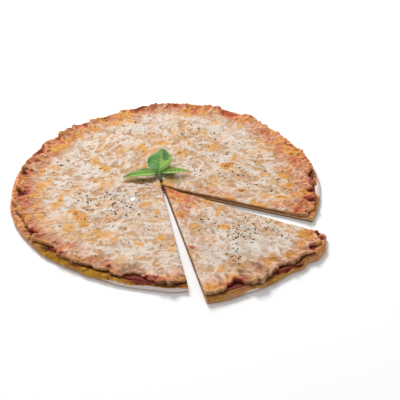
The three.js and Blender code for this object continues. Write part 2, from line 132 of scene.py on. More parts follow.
SLICE_TOASTED_SPOTS = [
    (7, -12, 12, 8, -45, 1.0), (14, -4, 6, 3, 100, 0.9), (22, -12, 5, 3, 100, 0.7), (13, -27, 6, 4, 20, 1.15),
    (21, -35, 5, 3, -40, 0.8), (11, -49, 6, 5, 100, 1.1), (35, -25, 11, 2.5, 95, 0.7), (47, -46, 11, 3, 80, 0.6),
    (50, -68, 6, 5, 0, 0.8), (25, -67, 7, 3, 0, 0.6), (106, -115, 6, 5, 0, 1.0), (90, -116, 8, 3, 110, 0.8),
    (118, -96, 6, 3, 100, 0.8), (125, -84, 9, 8, 0, 0.7), (43, -129, 8, 5, 90, 0.6), (40, -156, 12, 7, 10, 1.0),
    (52, -143, 8, 4, 20, 0.8), (70, -146, 5, 4, 0, 0.8), (85, -126, 10, 3, 90, 0.7), (101, -132, 7, 4, 30, 0.6),
    (60, -128, 7, 4, 20, 0.45),
]
TOMATO_SPOTS = [
    (-130, 63, 12, 3.2, 72, 1.0), (-110, 86, 6, 3, 60, 0.9), (-86, 114, 5.5, 4, 20, 0.9),
    (-62, 129, 6, 2.6, 15, 1.0), (-25, 137, 9, 2.6, 12, 1.0), (-135, 27, 7, 2.8, 80, 0.9), (1, 143, 5, 2.5, 0, 0.9),
    (8, 145, 4, 2, 20, 0.9), (17, 147, 4, 2.5, 0, 0.9), (34, 143, 6, 4, -15, 1.0), (57, 136, 5, 3.5, -70, 0.9),
    (69, 124, 11, 3.6, -33, 1.0), (91, 100, 6, 3, 0, 0.4), (126, 65, 6.5, 2.4, -64, 1.0), (138, 1, 9, 5, 92, 1.0),
    (122, -48, 7, 5, -20, 0.9), (131, 0, 6, 3, 20, 0.35), (-136, -5, 9, 3, 68, 1.0), (-134, -24, 5, 4, 10, 0.8),
    (-124, -69, 8, 4.5, 110, 1.0), (-110, -96, 9, 4.5, -35, 1.0), (-96, -103, 5, 3, 0, 0.7),
    (-71, -114, 5, 1.6, 75, 0.7), (-55, -123, 6, 4, -20, 0.9), (-36, -136, 5, 6, 90, 1.0),
    (-25, -140, 12, 4.5, -14, 1.0), (0, -145, 13, 1.6, 12, 0.9), (134, -9, 8, 7, 60, 0.3),
    (-22, -142, 17, 6, -10, 1.1), (131, -29, 7, 6, 60, 0.85), (138, -33, 6, 4, 70, 0.9),
    (146, -32, 3.4, 2.6, 0, 1.0), (-140, 3, 5, 2, 80, 0.7),
]
SLICE_TOMATO_SPOTS = [
    (57, -148, 9, 6, 35, 1.0), (54, -153, 6, 4, 10, 1.0), (94, -136, 9, 3, 22, 1.0), (104, -132.5, 7, 3, 35, 1.0),
    (114, -128, 6, 3, 30, 1.0), (124, -106, 4, 2, 80, 1.0), (127, -97, 8, 2, 80, 0.8), (137, -90, 6, 2.6, 70, 0.9),
    (133, -80, 7, 5, 60, 0.6), (12, -52, 6, 3, 20, 0.75), (19, -98, 4.5, 3.5, 0, 0.9), (46, -152, 5, 3, 0, 0.6),
    (1, -8, 6, 3.5, -62, 0.85), (10, -17, 9, 5, -50, 0.7), (17, -10, 8, 3, -25, 0.6), (16, -27, 6, 4, 60, 0.65),
]
SCORCHED_SPOTS = [
    (-74, 104, 4, 3.5, 0, 0.35), (-112, -94, 6, 4, -35, 0.8), (-124, -93, 4, 3, -50, 0.9),
    (-55, -124, 5, 3.5, -20, 0.8), (-87, -43, 3.4, 2.4, -60, 0.7), (60, 29, 4.5, 4, 0, 0.55),
    (71, -13, 4, 3, 0, 0.6), (134, -34, 5, 4, 60, 0.6), (145, -32, 3, 2, 0, 0.8), (70, 123, 7, 2.4, -33, 0.55),
    (-141, 29, 6, 2.4, 30, 0.7), (-84, -108, 9, 1.3, -25, 0.7), (-25, -142, 8, 3, -14, 0.6),
    (-130, 14, 7, 2, 35, 0.5), (-40, -68, 1.6, 3.4, 0, 0.7), (121, -34, 4, 3, 60, 0.6),
]
SLICE_SCORCHED_SPOTS = [
    (11, -51, 3, 2.5, 100, 0.6), (54, -152, 5, 4, 10, 0.9), (114, -128, 4, 2, 30, 0.6), (124, -106, 3, 2, 80, 0.8),
    (94, -136, 8, 1.8, 22, 0.6), (106, -115, 3.5, 3, 0, 0.5), (138, -92, 5, 2, 70, 0.6), (48, -161, 14, 3, 12, 0.5),
]

# Where the cheese has melted smooth and stayed white.
MILKY_SPOTS = [
    (-36, -35, 20, 16, 0, 0.9), (-50, -15, 14, 10, 0, 0.7), (-80, 3, 12, 8, 0, 0.7), (45, 104, 22, 10, -10, 0.8),
    (84, 98, 12, 10, -40, 0.8), (4, 124, 9, 6, 0, 0.6), (-16, 104, 16, 8, 0, 0.8), (52, 22, 16, 10, 10, 0.6),
    (95, -28, 14, 7, -20, 0.6), (-84, -92, 14, 9, -30, 0.6), (-40, -95, 16, 10, 0, 0.5), (72, 72, 16, 12, 0, 0.6),
    (0, -95, 7, 16, 98, 0.6), (30, 30, 14, 9, 0, 0.4), (-100, 55, 9, 6, 0, 0.4), (-8, -50, 6, 14, 98, 0.6),
]
SLICE_MILKY_SPOTS = [
    (70, -100, 28, 18, -10, 1.0), (42, -112, 15, 15, 0, 0.9), (92, -98, 17, 11, -10, 0.8),
    (73, -78, 20, 10, -20, 0.8), (34, -68, 9, 12, 0, 0.6), (48, -58, 12, 7, -20, 0.6),
]
# Where the cheese has taken colour from the sauce, away from the rim.
ORANGE_SPOTS = [
    (50, -15, 30, 7, -20, 0.5), (110, -38, 18, 8, -20, 0.6), (-60, 122, 30, 9, 22, 0.4),
    (-126, -40, 10, 24, 0, 0.5),
]
SLICE_ORANGE_SPOTS = [(10, -16, 24, 13, -48, 1.0), (12, -40, 7, 16, 10, 0.8), (30, -30, 14, 8, -60, 0.5)]
# A painted highlight, where the light catches one bare pool of cheese.
PAINTED_HIGHLIGHT_SPOTS = [(-33.8, -22.4, 5.8, 5.4, 10, 1.0)]
# Painted shadow under the leaves, olive from the light that comes through them.
LEAF_SHADOW_SPOTS = [(-29, 8.5, 14, 4.5, 4, 1.0), (-14, 8, 6, 6, 0, 0.9), (8, 6, 13, 5, 8, 0.8), (2, 11, 6, 6, 0, 0.7)]
# Floury stretches low on the crust: [angle, half length along the edge, strength]
FLOURED_STRETCHES = [(-97, 70, 1.3), (-128, 40, 0.3)]
SLICE_FLOURED_STRETCHES = [(-64.5, 13, 1.0), (-55, 10, 0.3)]

# ---- Small helpers --------------------------------------------------------------------------------------------


def mix(a, b, t):
    return a + (b - a) * t


def ease(t):
    return t * t * (3 - 2 * t)


def rising(value, low, high):
    """0 below low, 1 above high, and a smooth climb between them."""
    return ease(np.clip((value - low) / (high - low), 0, 1))


def most(first, *others):
    """The highest of several arrays or numbers, point by point."""
    for other in others:
        first = np.maximum(first, other)
    return first


def along_heading(x, y, heading):
    """How far a point is along a heading from the origin, and how far to its left."""
    east, north = math.cos(math.radians(heading)), math.sin(math.radians(heading))
    return x * east + y * north, y * east - x * north


def lattice_value(column, row, seed):
    scrambled = np.sin(column * 127.1 + row * 311.7 + seed * 74.7) * 43758.5453
    return 2 * (scrambled - np.floor(scrambled)) - 1


def noise(x, y, seed):
    """Smooth noise from -1 to 1, with humps about one unit apart."""
    column, row = np.floor(x), np.floor(y)
    across, along = ease(x - column), ease(y - row)
    near = mix(lattice_value(column, row, seed), lattice_value(column + 1, row, seed), across)
    far = mix(lattice_value(column, row + 1, seed), lattice_value(column + 1, row + 1, seed), across)
    return mix(near, far, along)


def layered_noise(x, y, size, seed):
    """Noise with humps of that size and finer ones on them."""
    return (noise(x / size, y / size, seed) + 0.5 * noise(x / size * 2.1 + 7, y / size * 2.1, seed + 1)
            + 0.25 * noise(x / size * 4.3, y / size * 4.3 + 3, seed + 2)) / 1.5


def random_from(seed):
    """A seeded source of numbers from 0 to 1, the same as the one that placed the solid herb flecks."""
    state = seed

    def multiply(a, b):
        return (a * b) & 0xFFFFFFFF

    def draw():
        nonlocal state
        state = (state + 0x6D2B79F5) & 0xFFFFFFFF
        mixed = multiply(state ^ (state >> 15), 1 | state)
        mixed = ((mixed + multiply(mixed ^ (mixed >> 7), 61 | mixed)) & 0xFFFFFFFF) ^ mixed
        return (mixed ^ (mixed >> 14)) / 4294967296

    return draw


def spots(x, y, table, wander=1.6):
    """Strength of the marks in a table at each point: ragged patches, each at its own heading."""
    x = x + wander * noise(x / 5, y / 5, 41) + 0.5 * wander * noise(x / 2.1, y / 2.1, 42)
    y = y + wander * noise(x / 5, y / 5, 43) + 0.5 * wander * noise(x / 2.1, y / 2.1, 44)
    strongest = np.zeros_like(x)
    for spot_x, spot_y, half_length, half_width, heading, strength in table:
        along, across = along_heading(x - spot_x, y - spot_y, heading)
        away = np.hypot(along / half_length, across / half_width)
        strongest = most(strongest, strength * (1 - rising(away, 0.25, 1.45)))
    return strongest


# ---- Outline and heights of the two pieces --------------------------------------------------------------------


def nearness(direction, angle, half_length):
    """1 at an angle of the rim, 0 from half_length away along the edge."""
    turn = direction - math.radians(angle)
    turn = turn - 2 * math.pi * np.round(turn / (2 * math.pi))
    return ease(np.clip(1 - np.abs(turn) * PIZZA_RADIUS / half_length, 0, 1))


def pizza_radius(direction):
    radius = PIZZA_RADIUS + 0.9 * noise(np.cos(direction) * 11, np.sin(direction) * 11, 6)
    for lobes, height, first in RIM_WAVES:
        radius = radius + height * np.cos(lobes * (direction - math.radians(first)))
    for angle, half_length, reach_out, _ in RIM_PUFFS:
        radius = radius + reach_out * nearness(direction, angle, half_length)
    return radius


def slice_radius(direction):
    angles, radii = np.array(SLICE_OUTLINE, float).T
    degrees = np.clip(np.degrees(direction), angles[0], angles[-1])
    after = np.clip(np.searchsorted(angles, degrees), 1, len(angles) - 1)
    along = (degrees - angles[after - 1]) / (angles[after] - angles[after - 1])
    torn = 0.5 + 0.5 * ease(np.clip((degrees + 60) / 20, 0, 1))
    return mix(radii[after - 1], radii[after], ease(along)) + torn * 1.6 * noise(direction * 16, 8 + 0 * direction, 6)


class Piece:
    """The big piece or the slice: a sector about its tip, whose rim is measured from its middle.

    looks holds the tables, stretches of the rim (angle, half length) and shares that its colours are laid on by.
    """

    def __init__(self, name, tip, angles, middle, bays, rim, lifts, **looks):
        self.name, self.tip, self.angles, self.middle = name, tip, angles, middle
        self.bays, self.rim, self.lifts, self.looks = bays, rim, lifts, looks

    def direction(self, x, y):
        return np.arctan2(y - self.middle[1], x - self.middle[0])

    def depth_in(self, x, y):
        """How far a point is in from the outer edge."""
        return self.rim(self.direction(x, y)) - np.hypot(x - self.middle[0], y - self.middle[1])

    def sauce_inset(self, direction):
        wander = noise(np.cos(direction) * 9.3, np.sin(direction) * 9.3, 21)
        return TOPPING_INSET + TOPPING_RAGGEDNESS * wander

    def cheese_inset(self, direction):
        bays = most(*[depth * nearness(direction, angle, half_length) for angle, half_length, depth in self.bays])
        level = 0 * direction
        drips = 1.5 * noise(direction * 14, 3 + level, 31) + 1.9 * noise(direction * 33, 5 + level, 32)
        threads = 1.0 * noise(direction * 71, 9 + level, 33)
        bare = BARE_DEPTH * nearness(direction, *BARE_EDGE)
        return self.sauce_inset(direction) - CHEESE_OVERHANG - CHEESE_SPREAD + bays + bare + drips + threads

    def reach(self, ray, inset):
        """Distance from the tip, along a ray, to the line that lies inset(direction) in from the outer edge."""
        distance = np.full_like(ray, PIZZA_RADIUS)
        for _ in range(8):
            x = self.tip[0] + distance * np.cos(ray)
            y = self.tip[1] + distance * np.sin(ray)
            distance = distance + self.depth_in(x, y) - inset(self.direction(x, y))
        return distance

    def crust_top(self, x, y):
        climb = np.clip((RIM_FOOT - self.depth_in(x, y)) / (RIM_FOOT - RIM_CREST), 0, 1)
        lifts = [lift * nearness(self.direction(x, y), angle, half) for angle, half, _, lift in self.lifts]
        rise = RIM_RISE * (1 + 0.25 * noise(x / 34, y / 34, 2)) + most(0, *lifts)
        return CRUST_FLOOR + rise * climb * climb

    def droop(self, x, y):
        """How far the crust's skin has dropped below the rim's crest, on its rounded outer side."""
        over = np.clip(1 - self.depth_in(x, y) / RIM_CREST, 0, 1)
        return 0.58 * self.crust_top(x, y) * (1 - np.sqrt(1 - over * over))

    def sauce_top(self, x, y):
        return self.crust_top(x, y) + LAYER_GAP + SAUCE_THICKNESS

    def cheese_top(self, x, y):
        near_rim = np.clip(1 - self.depth_in(x, y) / 34, 0, 1)
        swells = 0.4 * noise(x / 46, y / 46, 7) + 0.5 * noise(x / 19, y / 19, 8)
        lumps = (0.35 + 0.45 * near_rim) * noise(x / 9, y / 9, 9)
        return self.sauce_top(x, y) + LAYER_GAP + CHEESE_THICKNESS + swells + lumps + 0.7 * ease(near_rim)

    def to_cuts(self, x, y):
        """Distances to the first and the second cut, from inside the piece."""
        x, y = x - self.tip[0], y - self.tip[1]
        legs = [along_heading(x, y, angle) for angle in self.angles]
        return [np.where(ahead > 0, np.abs(beside), np.hypot(x, y)) for ahead, beside in legs]


BIG_PIECE = Piece(
    "pizza", CUT_POINT, CUT_ANGLES, (0, 0), PIZZA_BAYS, pizza_radius, RIM_PUFFS,
    toasted=TOASTED_SPOTS, tomato=TOMATO_SPOTS, scorched=SCORCHED_SPOTS, milky=MILKY_SPOTS, orange=ORANGE_SPOTS,
    painted_highlight=PAINTED_HIGHLIGHT_SPOTS, leaf_shadow=LEAF_SHADOW_SPOTS, herbs=HERB_PATCHES, flour=FLOURED_STRETCHES,
    ribs=0.6, dough_front=(55, 115), crusted=(192, 130), darkest=(-92, 70), front=(-100, 110), crumbly=(-8, 90),
    front_fading=0.5, milk_cover=0.65, grilling=0.75,
)
SLICE = Piece(
    "slice", SLICE_TIP, SLICE_ANGLES, SLICE_TIP, SLICE_BAYS, slice_radius, [],
    toasted=SLICE_TOASTED_SPOTS, tomato=SLICE_TOMATO_SPOTS, scorched=SLICE_SCORCHED_SPOTS, milky=SLICE_MILKY_SPOTS,
    orange=SLICE_ORANGE_SPOTS, painted_highlight=[], leaf_shadow=[], herbs=SLICE_HERB_PATCHES, flour=SLICE_FLOURED_STRETCHES,
    ribs=1.2, dough_front=(90, 130), crusted=(-32, 60), darkest=(-52, 90), front=(-62, 90), crumbly=(-32, 60),
    front_fading=0.35, milk_cover=0.85, grilling=0.2,
)

# ---- Relief of the melted cheese, worked out once on a fine chart ---------------------------------------------


class Chart:
    """A level grid of numbers over the whole pizza that can be stamped on and read at any point."""

    PITCH = 0.5
    LOW = (-160.0, -180.0)
    SIZE = (640, 700)

    def __init__(self):
        self.values = np.zeros(self.SIZE, np.float32)

    def stamp_dome(self, x, y, radius, height):
        """Raises a round-topped lump, where it's higher than what is there."""
        i0, i1 = [int((x + side - self.LOW[0]) / self.PITCH) for side in (-radius, radius + self.PITCH)]
        j0, j1 = [int((y + side - self.LOW[1]) / self.PITCH) for side in (-radius, radius + self.PITCH)]
        i0, j0 = max(i0, 0), max(j0, 0)
        i1, j1 = min(i1, self.SIZE[0] - 1), min(j1, self.SIZE[1] - 1)
        if i1 <= i0 or j1 <= j0:
            return
        px = self.LOW[0] + np.arange(i0, i1 + 1)[:, None] * self.PITCH - x
        py = self.LOW[1] + np.arange(j0, j1 + 1)[None, :] * self.PITCH - y
        dome = height * np.clip(1 - (px * px + py * py) / (radius * radius), 0, 1)
        window = self.values[i0 : i1 + 1, j0 : j1 + 1]
        np.maximum(window, dome, out=window)

    def stamp_strand(self, rng, x, y, heading, steps, radius, height, curl=0.0, wobble=0.06):
        """A crooked ridge: a row of domes, a step apart, whose heading curls and wobbles."""
        step = 1.1
        for _ in range(steps):
            x += step * math.cos(heading)
            y += step * math.sin(heading)
            heading += curl + rng.normal(0, wobble)
            self.stamp_dome(x, y, radius, height)

    def soften(self, passes):
        for _ in range(passes):
            v = self.values
            v[1:-1] = 0.25 * v[:-2] + 0.5 * v[1:-1] + 0.25 * v[2:]
            v[:, 1:-1] = 0.25 * v[:, :-2] + 0.5 * v[:, 1:-1] + 0.25 * v[:, 2:]

    def read(self, x, y):
        i = np.clip((x - self.LOW[0]) / self.PITCH, 0, self.SIZE[0] - 2)
        j = np.clip((y - self.LOW[1]) / self.PITCH, 0, self.SIZE[1] - 2)
        i0, j0 = np.floor(i).astype(int), np.floor(j).astype(int)
        fi, fj = i - i0, j - j0
        v = self.values
        near = v[i0, j0] * (1 - fi) + v[i0 + 1, j0] * fi
        far = v[i0, j0 + 1] * (1 - fi) + v[i0 + 1, j0 + 1] * fi
        return near * (1 - fj) + far * fj


def piece_at(x, y):
    """The piece whose cheese a place on the chart belongs to."""
    turn = math.degrees(math.atan2(y - SLICE_TIP[1], x - SLICE_TIP[0]))
    return SLICE if SLICE_ANGLES[0] < turn < SLICE_ANGLES[1] else BIG_PIECE


def strands_of_cheese(seed, shreds, ropes):
    """Shreds of cheese that have melted into each other, and ropes of it that run outwards over the rim."""
    chart = Chart()
    rng = np.random.default_rng(seed)
    for _ in range(shreds):
        x, y = rng.uniform(-158, 158), rng.uniform(-178, 158)
        piece = piece_at(x, y)
        depth = float(piece.depth_in(np.array(x), np.array(y)))
        if depth < -4:
            continue
        fanning, radial = (0.75, 0.0) if piece is BIG_PIECE else (0.4, 0.75)
        near_rim = math.exp(-((max(depth, 0) / 18) ** 2))
        grain = 0.2 + 1.3 * float(noise(np.array(x / 48), np.array(y / 48), seed)) + rng.normal(0, 0.5)
        outwards = math.atan2(y - piece.middle[1], x - piece.middle[0]) + rng.normal(0, fanning)
        heading = outwards if rng.random() < max(near_rim, radial) else grain
        length, curl = rng.uniform(4, 16), rng.normal(0, 0.07)
        radius = rng.uniform(0.9, 2.4) + 0.7 * near_rim
        height = rng.uniform(0.25, 1.0) * (1 - 0.5 * near_rim)
        chart.stamp_strand(rng, x, y, heading, int(length / 1.1), radius, height, curl)
    for _ in range(ropes):
        if rng.random() < 0.2:
            piece, turn, fanning = SLICE, rng.uniform(-1.42, -0.48), 0.25
        else:
            piece, turn, fanning = BIG_PIECE, rng.uniform(-math.pi, math.pi), 0.5
        depth = rng.uniform(2, 20)
        out = float(piece.rim(np.array(turn))) - depth
        x, y = piece.middle[0] + out * math.cos(turn), piece.middle[1] + out * math.sin(turn)
        heading = turn + rng.normal(0, fanning)
        radius, height = rng.uniform(1.2, 2.2), rng.uniform(0.9, 1.6)
        chart.stamp_strand(rng, x, y, heading, int(rng.uniform(8, 18)), radius, height, wobble=0.08)
    chart.soften(2)
    return chart


STRANDS = strands_of_cheese(seed=5, shreds=5200, ropes=380)


# ---- Working a mesh -------------------------------------------------------------------------------------------


def only(thing):
    """Leaves one object selected and active."""
    bpy.ops.object.select_all(action="DESELECT")
    thing.select_set(True)
    bpy.context.view_layer.objects.active = thing


def primitive(add, name, **settings):
    """A new primitive shape under that name, alone selected."""
    bpy.ops.object.select_all(action="DESELECT")
    add(**settings)
    thing = bpy.context.object
    thing.name = thing.data.name = name
    return thing


def edit_mode():
    bpy.ops.object.mode_set(mode="EDIT")


def object_mode():
    bpy.ops.object.mode_set(mode="OBJECT")


def read(elements, name, width=1, kind=float):
    """One property of every vertex, edge, face or corner, as an array."""
    values = np.empty(len(elements) * width, dtype=kind)
    elements.foreach_get(name, values)
    return values.reshape(-1, width) if width > 1 else values


def points_of(thing):
    return read(thing.data.vertices, "co", 3)


def set_points(thing, points):
    thing.data.vertices.foreach_set("co", np.ascontiguousarray(points, dtype=np.float64).ravel())
    thing.data.update()


def pick(thing, kind, chosen):
    """Selects those edges or faces, and nothing else, and stays in edit mode."""
    edit_mode()
    bpy.context.tool_settings.mesh_select_mode = (False, kind == "EDGE", kind == "FACE")
    bpy.ops.mesh.select_all(action="DESELECT")
    object_mode()
    elements = thing.data.edges if kind == "EDGE" else thing.data.polygons
    elements.foreach_set("select", chosen)
    edit_mode()


def open_edges(thing):
    """The edges that only one face uses."""
    uses = np.zeros(len(thing.data.edges), dtype=np.int32)
    np.add.at(uses, read(thing.data.loops, "edge_index", kind=np.int32), 1)
    return uses == 1


def face_outwards(thing):
    only(thing)
    edit_mode()
    bpy.ops.mesh.select_all(action="SELECT")
    bpy.ops.mesh.normals_make_consistent(inside=False)
    object_mode()


def paint(thing, name, *channels):
    """Keeps up to three 0-to-1 numbers on each point, as a colour attribute that a material reads."""
    values = np.ones((len(channels[0]), 4), dtype=np.float32)
    for column, channel in enumerate(channels):
        values[:, column] = np.clip(channel, 0, 1)
    attribute = thing.data.attributes.new(name, "FLOAT_COLOR", "POINT")
    attribute.data.foreach_set("color", values.ravel())


def serve(thing, node, materials, smooth_below, second=None):
    """Gives a thing its materials and its node's place. second marks the faces of the second material."""
    for material in materials:
        thing.data.materials.append(material)
    if second is not None:
        thing.data.polygons.foreach_set("material_index", second.astype(np.int32))
    only(thing)
    bpy.ops.object.shade_smooth_by_angle(angle=math.radians(smooth_below))
    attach(thing, "root")
    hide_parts(node)


# ---- Layers of the pizza --------------------------------------------------------------------------------------


def round_block(name, rings, levels):
    """A closed round block of radius 1: an even sheet on top, and under its edge a stack of rings a unit apart."""
    block = primitive(bpy.ops.mesh.primitive_grid_add, name, x_subdivisions=2 * rings, y_subdivisions=2 * rings, size=2)
    sheet = points_of(block)
    u, v = sheet[:, 0], sheet[:, 1]
    wide = np.abs(u) >= np.abs(v)
    longer, shorter = np.where(wide, u, v), np.where(wide, v, u)
    lean = math.pi / 4 * (shorter / np.where(longer == 0, 1, longer))
    from_side = np.where(u >= 0, 0, math.pi) + lean
    from_top = np.where(v >= 0, math.pi / 2, 3 * math.pi / 2) - lean
    turn, radius = np.where(wide, from_side, from_top), np.abs(longer)
    sheet[:, 0], sheet[:, 1] = radius * np.cos(turn), radius * np.sin(turn)
    set_points(block, sheet)
    edit_mode()
    bpy.context.tool_settings.mesh_select_mode = (False, True, False)
    bpy.ops.mesh.select_all(action="DESELECT")
    bpy.ops.mesh.select_non_manifold(
        extend=False, use_wire=False, use_boundary=True, use_multi_face=False, use_non_contiguous=False, use_verts=False
    )
    for _ in range(levels):
        bpy.ops.mesh.extrude_region_move(TRANSFORM_OT_translate={"value": (0, 0, -1)})
    bpy.ops.mesh.edge_face_add()
    bpy.ops.mesh.select_all(action="SELECT")
    bpy.ops.mesh.normals_make_consistent(inside=False)
    object_mode()
    return block


def cut_plane(angle):
    """The upright plane of a cut, for bisect."""
    turn = math.radians(angle)
    return dict(plane_co=(0, 0, 0), plane_no=(-math.sin(turn), math.cos(turn), 0), threshold=0.0004)


def keep_slice(block, angles):
    """Cuts a block along both lines and keeps the wedge between them."""
    only(block)
    edit_mode()
    for angle, side in zip(angles, ("clear_inner", "clear_outer")):
        bpy.ops.mesh.select_all(action="SELECT")
        bpy.ops.mesh.bisect(**cut_plane(angle), use_fill=True, **{side: True})
    object_mode()


def take_slice_out(block, angles):
    """Cuts a block along both lines, takes the wedge between them out and closes the two cut faces."""
    only(block)
    for angle in angles:
        x, y, _ = read(block.data.polygons, "center", 3).T
        ahead, beside = along_heading(x, y, angle)
        many_sided = read(block.data.polygons, "loop_total", kind=np.int32) > 40
        pick(block, "FACE", ((ahead > -0.02) & (np.abs(beside) < 0.03)) | many_sided)
        bpy.ops.mesh.bisect(**cut_plane(angle))
        object_mode()
    x, y, _ = read(block.data.polygons, "center", 3).T
    turns = np.degrees(np.arctan2(y, x)) - angles[1]
    pick(block, "FACE", (turns - 360 * np.floor(turns / 360)) < angles[0] + 360 - angles[1])
    bpy.ops.mesh.delete(type="FACE")
    object_mode()
    for angle in angles:
        x, y, _ = points_of(block).T
        ahead, beside = along_heading(x, y, angle)
        on_cut = (ahead > -0.001) & (np.abs(beside) < 0.0005)
        first, second = read(block.data.edges, "vertices", 2, np.int32).T
        pick(block, "EDGE", open_edges(block) & on_cut[first] & on_cut[second])
        bpy.ops.mesh.edge_face_add()
        object_mode()
    face_outwards(block)


class Layer:
    """How a round block becomes a layer: where its edge is, and the rounded shape it has there.

    roll is how wide the rounding is above the widest line, tuck how far it draws in below that line, and girth how
    high the line lies, as a share of the layer's thickness. rings_in_roll of the sheet's rings lie on the rounding.
    """

    def __init__(self, rings, rings_in_roll, crowding, roll, tuck, girth, under_levels, under_insets):
        self.rings, self.crowding = rings, crowding
        self.start_of_roll = 1 - rings_in_roll / rings
        self.roll, self.tuck, self.girth = roll, tuck, girth
        self.under_levels, self.under_insets = under_levels, under_insets

    def section(self, rho, level):
        """For each point of the block: how far out it is, how far it draws in from the edge, its share of height."""
        inner = np.clip(rho / self.start_of_roll, 0, 1)
        inner = 1 - (1 - inner) ** self.crowding
        quarter = math.pi / 2 * (1 - np.clip((rho - self.start_of_roll) / (1 - self.start_of_roll), 0, 1))
        back = self.roll * (1 - np.cos(quarter))
        share = self.girth + (1 - self.girth) * np.sin(quarter)
        below = -math.pi / 2 * np.clip(level / self.under_levels, 0, 1)
        insets = [self.tuck] + [self.tuck + inset for inset in self.under_insets]
        deeper = np.interp(level, self.under_levels + np.arange(len(insets)), insets)
        under_back = np.where(level <= self.under_levels, self.tuck * (1 - np.cos(below)), deeper)
        under = level > 0.5
        inner = np.where(under, np.where(rho > 0.5, 1, 0), inner)
        back = np.where(under, under_back, back)
        share = np.where(under, self.girth * (1 + np.sin(below)), share)
        return inner, back, share


def rim_ribs(ray, share):
    """Ribs that run down the outer side of the crust, from -1 to 1."""
    return layered_noise(ray * PIZZA_RADIUS + 2.5 * noise(ray * 30, 3 * share, 64), 4 * share, 4.5, 61)


def cut_waver(distance, seed):
    """How a knife's cut strays to either side along its length."""
    return 0.3 * noise(distance / 11, seed + 0 * distance, 51) + 0.16 * noise(distance / 3.1, seed + 0 * distance, 52)


def make_layer(name, piece, layer, inset, bottom, top, waver_seed, ribs=0.0):
    """A closed layer of a piece, in its place. Returns the object, and x, y and share of height at each point."""
    block = round_block(name, layer.rings, layer.under_levels + len(layer.under_insets))
    take_or_keep = keep_slice if piece is SLICE else take_slice_out
    take_or_keep(block, piece.angles)
    unit = points_of(block)
    rho, ray, level = np.hypot(unit[:, 0], unit[:, 1]), np.arctan2(unit[:, 1], unit[:, 0]), np.round(-unit[:, 2])
    inner, back, share = layer.section(rho, level)
    crags = rim_ribs(ray, share) * ribs * np.sin(math.pi * np.clip(share, 0, 1))
    distance = (piece.reach(ray, inset) - back + crags) * inner
    x = piece.tip[0] + distance * np.cos(ray)
    y = piece.tip[1] + distance * np.sin(ray)
    z = mix(bottom(x, y), top(x, y), share)
    for angle, to_cut, sign in zip(piece.angles, piece.to_cuts(x, y), (1, -1)):
        near = np.clip(1 - to_cut / 2.5, 0, 1) * np.clip(distance / 8, 0, 1)
        shift = sign * near * (0.25 + cut_waver(distance, waver_seed + sign))
        x = x - shift * math.sin(math.radians(angle))
        y = y + shift * math.cos(math.radians(angle))
    set_points(block, np.stack([x, y, z], axis=1) * MM)
    return block, x, y, share


def faces_on_cuts(block):
    """Which faces are the big flat ones that a cut has left."""
    upright = np.abs(read(block.data.polygons, "normal", 3)[:, 2]) < 0.5
    return (read(block.data.polygons, "loop_total", kind=np.int32) > 30) & upright


# ---- Materials ------------------------------------------------------------------------------------------------


def linear(colour):
    """A screen colour, 0 to 255, as the linear colour that a shader takes."""
    return tuple((c / 255 / 12.92) if c <= 10.3 else ((c / 255 + 0.055) / 1.055) ** 2.4 for c in colour) + (1,)


